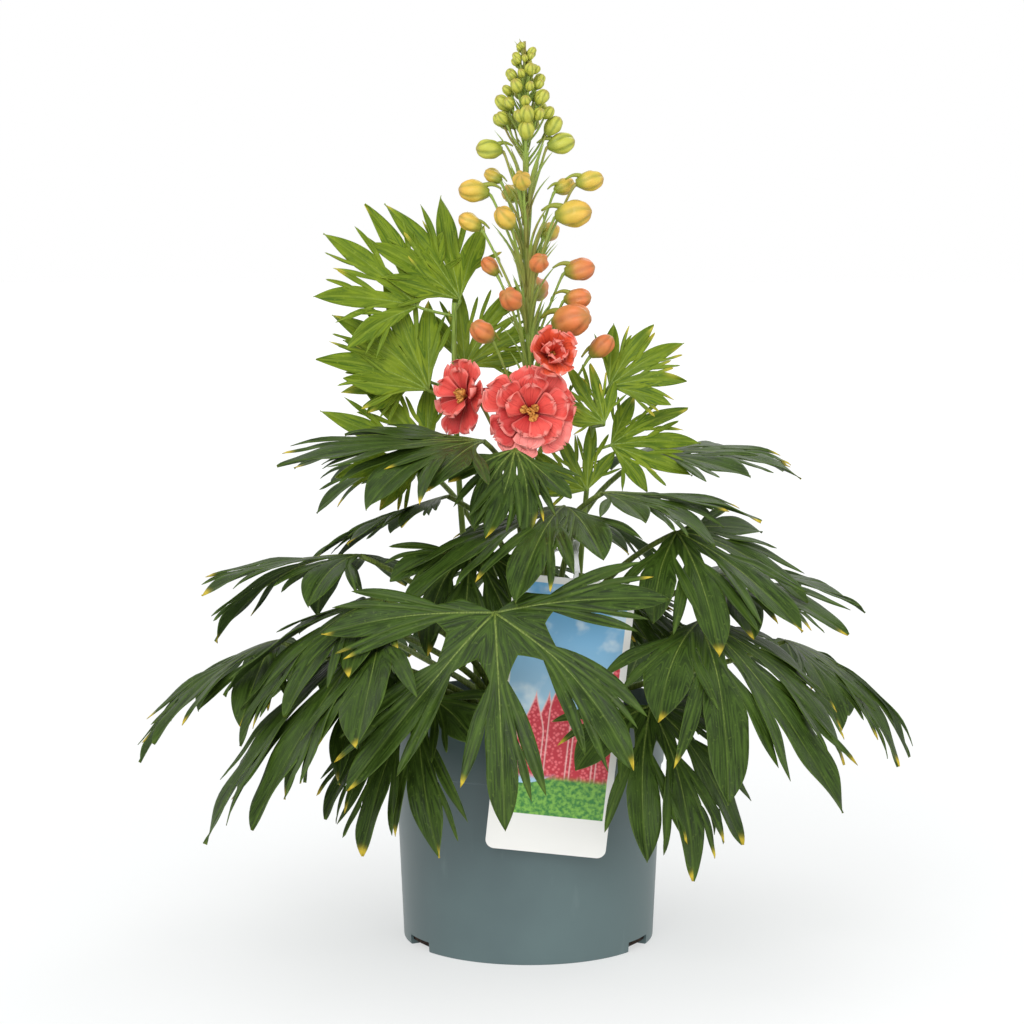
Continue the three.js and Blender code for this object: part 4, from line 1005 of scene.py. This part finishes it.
def bract(foot, azimuth, length):
    """A narrow leaf that stands up and out from the foot of a stalk: a tube pressed flat, with points."""
    share = np.linspace(0, 1, 8)
    out = bearing(azimuth, 0)
    path = foot + out * (length * (0.1 + 0.5 * share**2))[:, None] + UPRIGHT * (length * share)[:, None]
    width = (0.5 + 0.03 * length) * np.sin(np.pi * (0.1 + 0.9 * share)) ** 0.8 + 0.05
    turn = np.arange(6) * np.pi / 3
    radius = width[:, None] * np.hypot(np.cos(turn), 0.25 * np.sin(turn))
    return swept(path, radius, 6, bearing(azimuth + 90, 0))


def bud_part(base, direction, size, ripe, seed):
    """A bud: its outline turned round its axis, creased where the five sepals meet in a slow twist, with
    each sepal's tip a little proud. ripe goes from 0, green, to 1, orange."""
    share = np.linspace(0, 1, BUD_RINGS)
    outline = spline(BUD_OUTLINE)
    width = np.interp(share, outline[:, 0], outline[:, 1]) * BUD_ROUNDNESS * size
    turn = np.arange(BUD_SIDES) / BUD_SIDES
    place = (turn[None] + 0.09 * share[:, None] + draw(seed, 1)) * SEPALS
    crease = np.abs(place % 1 - 0.5) * 2
    depth = SEPAL_CREASE * np.sin(np.pi * np.clip(share, 0.05, 1)) ** 0.7
    radius = width[:, None] * (1 - depth[:, None] * crease**5)
    radius *= 1 - 0.3 * np.clip(share[:, None] / 0.35 - 1.6, 0, 1) * crease**2
    radius *= 1 + 0.08 * (draw(seed, np.floor(place)) - 0.5) + 0.03 * np.sin(9 * share[:, None] + 5 * place)
    path = base + direction * (share * size)[:, None]
    side = np.cross(direction, UPRIGHT) + 1e-6
    return swept(path, radius, BUD_SIDES, side, ripe=ripe, along=share, crease=crease)


def bud_spur(base, direction, size, ripe):
    """The bud's spur: a short horn that grows from its back and bends down behind it."""
    share = np.linspace(0, 1, 8)[:, None]
    back = base + direction * (0.22 * size) + UPRIGHT * (0.2 * size)
    path = back - direction * (0.62 * size * share) + UPRIGHT * (0.1 * size * np.sin(np.pi * share))
    radius = size * 0.1 * (1 - 0.7 * share[:, 0])
    return swept(path, radius, 8, UPRIGHT, ripe=ripe)


def bud_on_stalk(height, azimuth, reach, size, lift, seed):
    """A bud with its spur, and its stalk with three bracts round its foot and two tiny ones halfway."""
    direction = bearing(azimuth, lift)
    middle = stem_at(height) + bearing(azimuth, 0) * reach
    base = middle - direction * size / 2
    ripe = np.clip((RIPE["from"] - height) / RIPE["over"], 0, 1)
    line = pedicel_line(base, reach - size / 2 * np.cos(np.radians(lift)))
    share = np.linspace(0, 1, 20)
    path = at_share(spline([*line, base + direction * 0.06 * size]), share)
    radius = PEDICEL["radius"] * np.interp(share, [0, 0.1, 0.9, 1], [1.2, 0.9, 0.9, 1.4])
    stalks = [swept(path, radius, 8, bearing(azimuth + 90, 0))]
    for item, (rise, turn, least, more) in enumerate(BRACTS, 3):
        stalks.append(bract(line[0] + UPRIGHT * rise, azimuth + turn, least + more * draw(seed, item)))
    stalks += [bract(path[12], azimuth + 70, 5), bract(path[13], azimuth - 70, 5)]
    return stalks, [bud_part(base, direction, size, ripe, seed), bud_spur(base, direction, size, ripe)]


def tip_bud(i, count, scale):
    """One of the tip's unripe buds, which stand round the stem by the golden angle."""
    share = i / (count - 1)
    height = TIP_BUDS["from"] + (TIP_BUDS["to"] - TIP_BUDS["from"]) * share
    size = scale * np.interp(share, [0, 1], TIP_BUDS["size"])
    reach = np.interp(share, [0, 1], TIP_BUDS["reach"])
    azimuth = i * GOLDEN_ANGLE * (TIP_BUDS["count"] / count)
    out, direction = bearing(azimuth, 0), bearing(azimuth, TIP_BUDS["lift"])
    foot = stem_at(height - size - 0.8 * reach)
    base = stem_at(height) + out * reach - direction * 0.4 * size
    line = spline([foot, (foot + base) / 2 + out * 0.1 * reach, base])
    stalk = swept(at_share(line, np.linspace(0, 1, 8)), TIP_STALK, 6, bearing(azimuth + 90, 0))
    return [stalk, bract(foot, azimuth, 12)], [bud_part(base, direction, 1.1 * size, 0, 500 + i)]


def bud_skin():
    """Sepals: yellow with green edges while unripe, then yellow and at last orange. Every bud is green at
    its base and brownish at its very tip. Each stage goes darker along the creases where the sepals meet:
    the unripe green margins are the bud's own, the rest is painted shade in the creases."""
    finish, tree, shader = new_finish("bud_skin", 0.45, 0.35)
    ripe, along, crease = (value_of(tree, key) for key in ("ripe", "along", "crease"))
    cloud = maths(tree, "SUBTRACT", mottle(tree, 120, 3), 0.5)
    shift = maths(tree, "ADD", ripe, maths(tree, "MULTIPLY", cloud, 0.35))
    # The crease mask: the sepals' own green margins on unripe buds, and painted shade darkening every stage
    # along the creases.
    edge = step_up(tree, crease, 0.45, 1.0, 0, 0.8)
    colour = coats(
        tree,
        mix(tree, edge, "aeb044", "76842f"),
        (step_up(tree, shift, 0.08, 0.26), mix(tree, edge, mix(tree, along, "bcae42", "d2a445"), "a3963c")),
        (step_up(tree, shift, 0.46, 0.64), mix(tree, edge, mix(tree, along, "b98a42", "cf6c40"), "b06a3e")),
        (step_up(tree, along, 0.05, 0.4, 0.85, 0), "7c8a2f"),
        (step_up(tree, along, 0.8, 1, 0, 0.55), "8d7434"),
    )
    cover(tree, shader, colour, mottle(tree, 700, 3, (1, 1, 0.3)), 0.0003, 0.6)
    return finish


def stem_skin():
    """The stem and the flower stalks: yellow-green, streaked lengthwise, with brown flushes."""
    finish, tree, shader = new_finish("stem_skin", 0.5, 0.35)
    streak = mottle(tree, 900, 3, (1, 1, 0.05))
    flush = step_up(tree, mottle(tree, 35, 3, (1, 1, 0.3)), 0.5, 0.7, 0, 0.5)
    colour = mix(tree, flush, mix(tree, streak, "6f8a35", "9aac52"), "8a5a34")
    cover(tree, shader, colour, streak, 0.0003, 0.5)
    return finish


height = STEM_LINE[0][2] + (STEM["length"] - STEM_LINE[0][2]) * np.linspace(0, 1, 90)
stem_radius = np.interp(height, [0, STEM["length"]], [STEM["radius"], STEM["tip"]])
stem_parts = [swept(stem_at(height), stem_radius, 16, (0, 1, 0))]
bud_parts = []
grown = [bud_on_stalk(*row, seed) for seed, row in enumerate(BUDS)]
tip = [tip_bud(i + shift, count, scale) for count, shift, scale in TIP_SETS for i in range(count)]
for stalks, buds in grown + tip:
    stem_parts += stalks
    bud_parts += buds

# ---- Open blooms ---------------------------------------------------------------------------------
# Three double flowers of thin ruffled petals in layers round a cup, with a golden-brown eye of stamens and
# a spur behind. One looks forward, one to the left, and one is still half furled.
BLOOM_STALK = {"radius": 1.3, "straight": 4}
# A layer of petals: how many, the size of one, its angle above the bloom's face, the first one's turn and
# where it leaves the cup. Tones go from dark through coral to pale, and warm is a share of orange.
OUTER = {
    "count": 7, "length": 33, "width": 13.5, "tilt": 12, "turn": 0, "start": 3.3,
    "tones": (0.4, 0.62, 0.5, 0.45, 0.05, 0.95, 0.75),
}
SECOND = {
    "count": 6, "length": 27, "width": 11, "tilt": 26, "turn": 26, "start": 5,
    "tones": (0.5, 0.35, 0.3, 0.08, 0.9, 0.4),
}
LESSER = {
    "count": 6, "length": 27, "width": 11, "tilt": 18, "turn": 10, "start": 3.3,
    "tones": (0.3, 0.5, 0.35, 0.15, 0.08, 0.2),
}
INNER = {
    "count": 5, "length": 22, "width": 8.5, "tilt": 38, "turn": 20, "start": 6,
    "tones": (0.5, 0.3, 0.55, 0.15, 0.6),
}
EYE_PETALS = {
    "count": 3, "length": 10, "width": 3.2, "tilt": 62, "turn": 45, "start": 6,
    "tones": (0, 0, 0),
    "finish": 1,
}
FURLED = {
    "count": 5, "length": 25, "width": 12, "tilt": 50, "turn": 0, "start": 3.3,
    "tones": (0.4, 0.5, 0.3, 0.5, 0.4),
    "warm": 0.75,
}
FURLED_HEART = {
    "count": 4, "length": 20, "width": 10, "tilt": 74, "turn": 30, "start": 4.3,
    "tones": (0.3, 0.4, 0.5, 0.3),
    "warm": 0.45,
}
BLOOMS = {
    "front": (220, -90, 36, -88, 8, (OUTER, SECOND, INNER, EYE_PETALS)),
    "left": (228, -165, 40, -135, 12, (LESSER, INNER, EYE_PETALS)),
    "opening": (257, -66, 31, -78, 18, (FURLED, FURLED_HEART)),
}
CUP = {"radius": 5, "back": 1.6, "depth": 6}
SPUR = {"length": 14, "radius": 2, "above": 3.8, "rise": 5}
PETAL_GRID = (20, 17)
PETAL_THICKNESS = 0.35
RUFFLE = 2.6
SHOULDER = 0.78
STAMENS = 26
STAMEN_RADII = (0.3, 0.25, 0.25, 0.25, 0.75, 0.8, 0.3)


def petal_part(layer, i, azimuth, seed):
    """A petal: s runs from the cup to its tip, v across it. Its half width grows from a narrow claw to its
    shoulder and rounds off in a notched edge, it bends outwards along s, and ruffles grow with s."""
    rows, columns = PETAL_GRID
    s = np.linspace(0, 1, rows)[:, None]
    v = np.linspace(-1, 1, columns)[None]
    out, side = bearing(azimuth, 0), bearing(azimuth + 90, 0)
    grow = 0.1 + 0.9 * np.clip(s / SHOULDER, 0, 1) ** 1.25
    close = np.sqrt(np.clip(1 - (np.clip(s - SHOULDER, 0, 1) / 0.225) ** 2, 0, 1))
    half = layer["width"] * grow * close * (0.92 + 0.16 * draw(seed, 1))
    bend = np.radians(layer["tilt"] + 20 - 36 * s + 16 * (draw(seed, 2) - 0.5))
    step = layer["length"] * (0.86 + 0.17 * draw(seed, 3)) / (rows - 1)
    away = np.cumsum(np.cos(bend), axis=0) * step - step * np.cos(bend[0])
    rise = np.cumsum(np.sin(bend), axis=0) * step - step * np.sin(bend[0])
    phase = 6.28 * draw(seed, 4)
    ruffle = RUFFLE * s**1.6 * np.sin(4.2 * v + phase) * (0.35 + 0.65 * v**2)
    fine = 0.9 * s**2 * np.sin(11 * v + 2 * phase) * np.abs(v)
    notch = 1.3 * s**4 * np.cos(9 * v + phase)
    x = (0.06 * layer["length"] + away + notch) + 0 * v
    y = half * v
    z = rise + ruffle + fine + 0.1 * layer["width"] * v**2 * s
    points = x[..., None] * out + y[..., None] * side + z[..., None] * UPRIGHT
    points = points.reshape(-1, 3) + UPRIGHT * layer["start"]
    given = {"reach": s, "across": v, "tone": layer["tones"][i], "warm": layer.get("warm", 0.0)}
    values = {key: np.broadcast_to(value, (rows, columns)).ravel() for key, value in given.items()}
    points, faces, values = welded(points, triangles(grid_faces(rows, columns)), values)
    return {**sheet_shell(points, faces, PETAL_THICKNESS, values), "finish": layer.get("finish", 0)}


def bloom_parts(layers, seed):
    """A bloom that looks along +Z: cup and spur, the layers of petals, and the stamens in its eye."""
    share = np.linspace(0, 1, 12)
    cup_radius = CUP["back"] + (CUP["radius"] - CUP["back"]) * np.sin(0.5 * np.pi * share)
    cup_path = UPRIGHT * (CUP["depth"] * share)[:, None]
    spur_knots = [
        (0, SPUR["above"], 0.6 * CUP["depth"]),
        (0, SPUR["above"] + 0.5 * SPUR["rise"], -0.4 * SPUR["length"]),
        (0, SPUR["above"] + SPUR["rise"], -SPUR["length"]),
    ]
    spur_path = spline(spur_knots, 12)
    spur_radius = SPUR["radius"] * np.linspace(1, 0.35, len(spur_path))
    parts = [
        swept(cup_path, cup_radius, 20, (1, 0, 0), tone=0.2),
        swept(spur_path, spur_radius, 12, (1, 0, 0), tone=0.3),
    ]
    for row, layer in enumerate(layers):
        for i in range(layer["count"]):
            azimuth = layer["turn"] + 360 * i / layer["count"] + 24 * (draw(seed + row, i) - 0.5)
            parts.append(petal_part(layer, i, azimuth, 100 * seed + 10 * row + i))
    for i in range(STAMENS):
        lean = bearing(i * GOLDEN_ANGLE, 62 + 20 * draw(seed, 300 + i))
        start = lean * 1.5 + UPRIGHT * (CUP["depth"] - 1)
        share = np.linspace(0, 1, len(STAMEN_RADII))
        path = start + lean * (share * (5.5 + 2.5 * draw(seed, 340 + i)))[:, None]
        parts.append(swept(path, np.array(STAMEN_RADII), 6, bearing(i * GOLDEN_ANGLE + 90, 0), 1))
    return parts


def looking(direction):
    """Rows that turn a thing that looks along +Z to look in a direction, with its +Y side up."""
    across = unit(np.cross(UPRIGHT, direction))
    return np.stack([across, np.cross(direction, across), direction])


def petal_skin():
    """Petals: deep coral at the claw, lighter coral out to a pale edge, with fine darker veins. Petals
    differ from dark to pale, and those that still open have an orange cast."""
    finish, tree, shader = new_finish("petal_skin", 0.55, 0.3)
    reach, across, tone = (value_of(tree, key) for key in ("reach", "across", "tone"))
    wide = maths(tree, "MULTIPLY", across, 7.0)
    vein = noise(tree, node(tree, "ShaderNodeCombineXYZ", {"X": wide, "Y": reach, "Z": tone}), 2.2, 4)
    colour = coats(
        tree,
        mix(tree, step_up(tree, reach, 0.1, 0.75), "b0232a", "dc5148"),
        (value_of(tree, "warm"), "d9562c"),
        (step_up(tree, tone, 0.55, 0.95), "ef8f88"),
        (step_up(tree, tone, 0.4, 0.05, 0, 0.8), "b02a2a"),
        (step_up(tree, maths(tree, "ABSOLUTE", across), 0.7, 1.0, 0, 0.5), "ea8b80"),
        (step_up(tree, reach, 0.88, 1.0, 0, 0.5), "f2a79c"),
        (step_up(tree, vein, 0.5, 0.68, 0, 0.5), "98191f"),
    )
    cover(tree, shader, colour, vein, 0.0008, 0.6)
    return finish


def eye_skin():
    """The eye: golden-brown stamens and small inner petals, finely grained."""
    finish, tree, shader = new_finish("eye_skin", 0.6, 0.3)
    grain = mottle(tree, 900, 3)
    colour = mix(tree, step_up(tree, grain, 0.35, 0.65), "b5763a", "d8a04c")
    cover(tree, shader, colour, grain, 0.0003, 0.5)
    return finish


bloom_finishes = [petal_skin(), eye_skin()]
for seed, (key, (height, azimuth, reach, facing, lift, layers)) in enumerate(BLOOMS.items()):
    direction = bearing(facing, lift)
    back = stem_at(height) + bearing(azimuth, 0) * reach
    parts = moved(bloom_parts(layers, seed + 1), back + UPRIGHT * SOIL_TOP, looking(direction))
    dress(mesh_piece(f"open_bloom_{key}", parts, bloom_finishes), "petal", f"bloom_{key}")
    line = spline([*pedicel_line(back - direction * BLOOM_STALK["straight"], reach), back])
    path = at_share(line, np.linspace(0, 1, 24))
    stem_parts += [swept(path, BLOOM_STALK["radius"], 10, (1, 0, 0)), bract(path[0], azimuth, 18)]

for name, parts, skin in (("flower_stem", stem_parts, stem_skin()), ("raceme_buds", bud_parts, bud_skin())):
    dress(mesh_piece(name, moved(parts, UPRIGHT * SOIL_TOP), [skin]), "raceme_green", "raceme")

# ---- Plant label ---------------------------------------------------------------------------------
# A printed card of stiff white plastic with rounded corners and a punched hole, hung in front of the pot.
# Its print is plain: a sky, coral flower spires over green, a white margin and a bare white foot.
LABEL = {"width": 80, "height": 188, "thickness": 0.8, "corner": 6, "hole": 3, "hole_down": 8}
LABEL_PLACE = {"middle": (20, -117, 175), "lean": 6, "tilt": 6}
LABEL_SHARP = np.radians(40)
# The print's measures above its foot: the hills' top, where the spires fade in, and for two rows of spires
# their shift in widths and their least height.
PRINT = {"border": 4.5, "foot": 26, "soft": 0.15, "hills": 28, "ground": (24, 30), "spire": 17}
SPIRES = ((0.5, 62), (0.0, 78))

lean, tilt = np.radians([90 + LABEL_PLACE["lean"], -LABEL_PLACE["tilt"]])
card_turn = np.array([(1, 0, 0), (0, np.cos(lean), np.sin(lean)), (0, -np.sin(lean), np.cos(lean))])
card_turn = about_z(tilt) @ card_turn


def rounded_rectangle(turn, width, height, corner):
    """The outline of a rectangle with round corners: for each turn the point of that corner's arc."""
    middle = np.array([width / 2 - corner, height / 2 - corner])
    arc = np.stack([np.cos(turn), np.sin(turn)], -1) * corner
    return arc + np.sign(np.round(arc, 6)) * middle


def label_card():
    """The card: its outline and its hole joined by a ring of quads, on the front and the back."""
    quarter = np.linspace(0.02, 0.98, 12) * np.pi / 2
    turn = np.concatenate([quarter + k * np.pi / 2 for k in range(4)])
    outline = rounded_rectangle(turn, LABEL["width"], LABEL["height"], LABEL["corner"])
    centre = np.array([0, LABEL["height"] / 2 - LABEL["hole_down"]])
    around = np.arctan2(*(outline - centre).T[::-1])
    hole = centre + LABEL["hole"] * np.stack([np.cos(around), np.sin(around)], -1)
    share = np.linspace(0, 1, 16)[:, None, None]
    flat = hole * (1 - share) + outline * share
    faces = triangles(grid_faces(*flat.shape[:2], closed=True))
    flat = flat.reshape(-1, 2)
    points = np.column_stack([flat, np.full(len(flat), LABEL["thickness"] / 2)])
    values = {"card_x": flat[:, 0], "card_y": flat[:, 1]}
    return moved([sheet_shell(points, faces, LABEL["thickness"], values)], LABEL_PLACE["middle"], card_turn)


def card_print():
    """The print, worked out in millimetres from the card's middle: a pale blue sky with soft clouds, green
    hills, two rows of coral flower spires, each as high as its number draws, and white round it all."""
    finish, tree, shader = new_finish("label_print", 0.28, 0.5)
    x, y = value_of(tree, "card_x"), value_of(tree, "card_y")
    low = PRINT["foot"] - LABEL["height"] / 2
    place = node(tree, "ShaderNodeCombineXYZ", {"X": x, "Y": y})
    sky = mix(tree, step_up(tree, y, -20, 90), "a9cfe6", "6fb0dc")
    sky = mix(tree, step_up(tree, noise(tree, place, 0.045, 3), 0.5, 0.68, 0, 0.7), sky, "e6f2f8")
    wave = maths(tree, "MULTIPLY", maths(tree, "SINE", maths(tree, "MULTIPLY", x, 0.075)), 7.0)
    over = maths(tree, "SUBTRACT", y, maths(tree, "ADD", wave, low + PRINT["hills"]))
    green = mix(tree, step_up(tree, noise(tree, place, 0.35, 4), 0.35, 0.65), "2f7a34", "7fb748")
    colour = mix(tree, step_up(tree, over, 0.3, -0.3), sky, green)
    dots = node(tree, "ShaderNodeTexVoronoi", {"Vector": place, "Scale": 0.42}, out="Distance")
    reds = mix(tree, step_up(tree, dots, 0.15, 0.6), "f2727a", "c8283a")
    ground = step_up(tree, y, *(low + height for height in PRINT["ground"]))
    for shift, least in SPIRES:
        spot = maths(tree, "ADD", maths(tree, "DIVIDE", x, PRINT["spire"]), shift)
        number = maths(tree, "ROUND", spot)
        chance = node(tree, "ShaderNodeTexWhiteNoise", {"W": number}, noise_dimensions="1D")
        peak = maths(tree, "ADD", maths(tree, "MULTIPLY", chance, 40.0), low + least)
        half = step_up(tree, maths(tree, "SUBTRACT", peak, y), -4, 30, 0, 0.46)
        beside = maths(tree, "ABSOLUTE", maths(tree, "SUBTRACT", spot, number))
        inner = maths(tree, "SUBTRACT", half, beside)
        blossom = mix(tree, step_up(tree, inner, 0.1, 0.02, 0, 0.8), reds, "fbd3cf")
        spire = maths(tree, "MULTIPLY", step_up(tree, inner, 0.0, 0.03), ground)
        colour = mix(tree, spire, colour, blossom)
    soft = PRINT["soft"]
    inside = step_up(tree, y, low - soft, low + soft)
    for value, size in ((maths(tree, "ABSOLUTE", x), LABEL["width"]), (y, LABEL["height"])):
        limit = size / 2 - PRINT["border"]
        inside = maths(tree, "MULTIPLY", inside, step_up(tree, value, limit + soft, limit - soft))
    cover(tree, shader, mix(tree, inside, "e9e8e4", colour), mottle(tree, 700, 2), 0.00005, 0.3)
    return finish


def plain_plastic(name):
    """White plastic with a trace of cloudiness and a fine grain."""
    finish, tree, shader = new_finish(name, 0.35, 0.5)
    cover(tree, shader, mix(tree, mottle(tree, 40), "e4e6e4", "f1f2f0"), mottle(tree, 900, 2), 0.00005, 0.4)
    return finish


label = mesh_piece("label_card", label_card(), [card_print(), plain_plastic("label_back")])
label.data.set_sharp_from_angle(angle=LABEL_SHARP)
dress(label, "label_card", "plant_label")

# ---- Label tie -----------------------------------------------------------------------------------
# A soft white plastic strap: one eye goes through the label's hole, one round the flower stem, and the
# band between them passes over the leaves. Its edges are rounded.
TIE = {"width": 5, "thickness": 1, "eye": 6, "eye_width": 3, "height": 118, "stem_radius": 5}
TIE_LINE = [(29, -125, 283), (31, -90, 288), (29, -50, 280), (10, -16, 270)]


def band(line, across, width, closed=False):
    """A flat strap: a rectangle with rounded edges carried along a line, wide in the given direction."""
    line = np.asarray(line, float)
    across = unit(np.asarray(across, float))
    if closed:
        ahead = np.roll(line, -1, axis=0) - np.roll(line, 1, axis=0)
    else:
        ahead = np.gradient(line, axis=0)
    up = unit(np.cross(ahead, across))
    turn = (np.arange(12) + 0.5) * np.pi / 6
    flat = np.sign(np.cos(turn)) * np.abs(np.cos(turn)) ** 0.35 * width / 2
    thick = np.sign(np.sin(turn)) * np.abs(np.sin(turn)) ** 0.6 * TIE["thickness"] / 2
    points = line[:, None] + across * flat[:, None] + up[:, None] * thick[:, None]
    rows, columns = points.shape[:2]
    quads = grid_faces(rows + closed, columns, closed=True)[:, [0, 3, 2, 1]] % (rows * columns)
    faces = [triangles(quads)]
    if not closed:
        fan = np.arange(1, columns - 1)
        zero = np.zeros_like(fan)
        last = (rows - 1) * columns
        faces += [np.stack([zero, fan + 1, fan], -1), np.stack([zero, fan, fan + 1], -1) + last]
    return {"points": points.reshape(-1, 3), "faces": np.concatenate(faces)}


def eye(centre, axis, up, radius, width):
    """A round eye of strap about an axis, which starts on its upper side."""
    turn = np.arange(32)[:, None] * 2 * np.pi / 32
    line = centre + radius * (np.cos(turn) * up + np.sin(turn) * np.cross(axis, up))
    return band(line, axis, width, closed=True)


card_right, card_up = card_turn[0], card_turn[1]
hole = np.array([0, LABEL["height"] / 2 - LABEL["hole_down"], 0]) @ card_turn + LABEL_PLACE["middle"]
eye_centre = hole + card_up * TIE["eye"]
on_stem = stem_at(TIE["height"]) + UPRIGHT * SOIL_TOP
strap_line = [eye_centre + card_up * TIE["eye"], *TIE_LINE, on_stem - np.array([0, TIE["stem_radius"], 0])]
tie_parts = [
    eye(eye_centre, card_right, card_up, TIE["eye"], TIE["eye_width"]),
    eye(on_stem, UPRIGHT, np.array([0, -1.0, 0]), TIE["stem_radius"], TIE["width"]),
    band(at_share(spline(strap_line), np.linspace(0, 1, 60)), (1, 0, 0), TIE["width"]),
]
tie = mesh_piece("label_strap", tie_parts, [plain_plastic("strap_plastic")])
dress(tie, "tie_plastic", "label_tie")
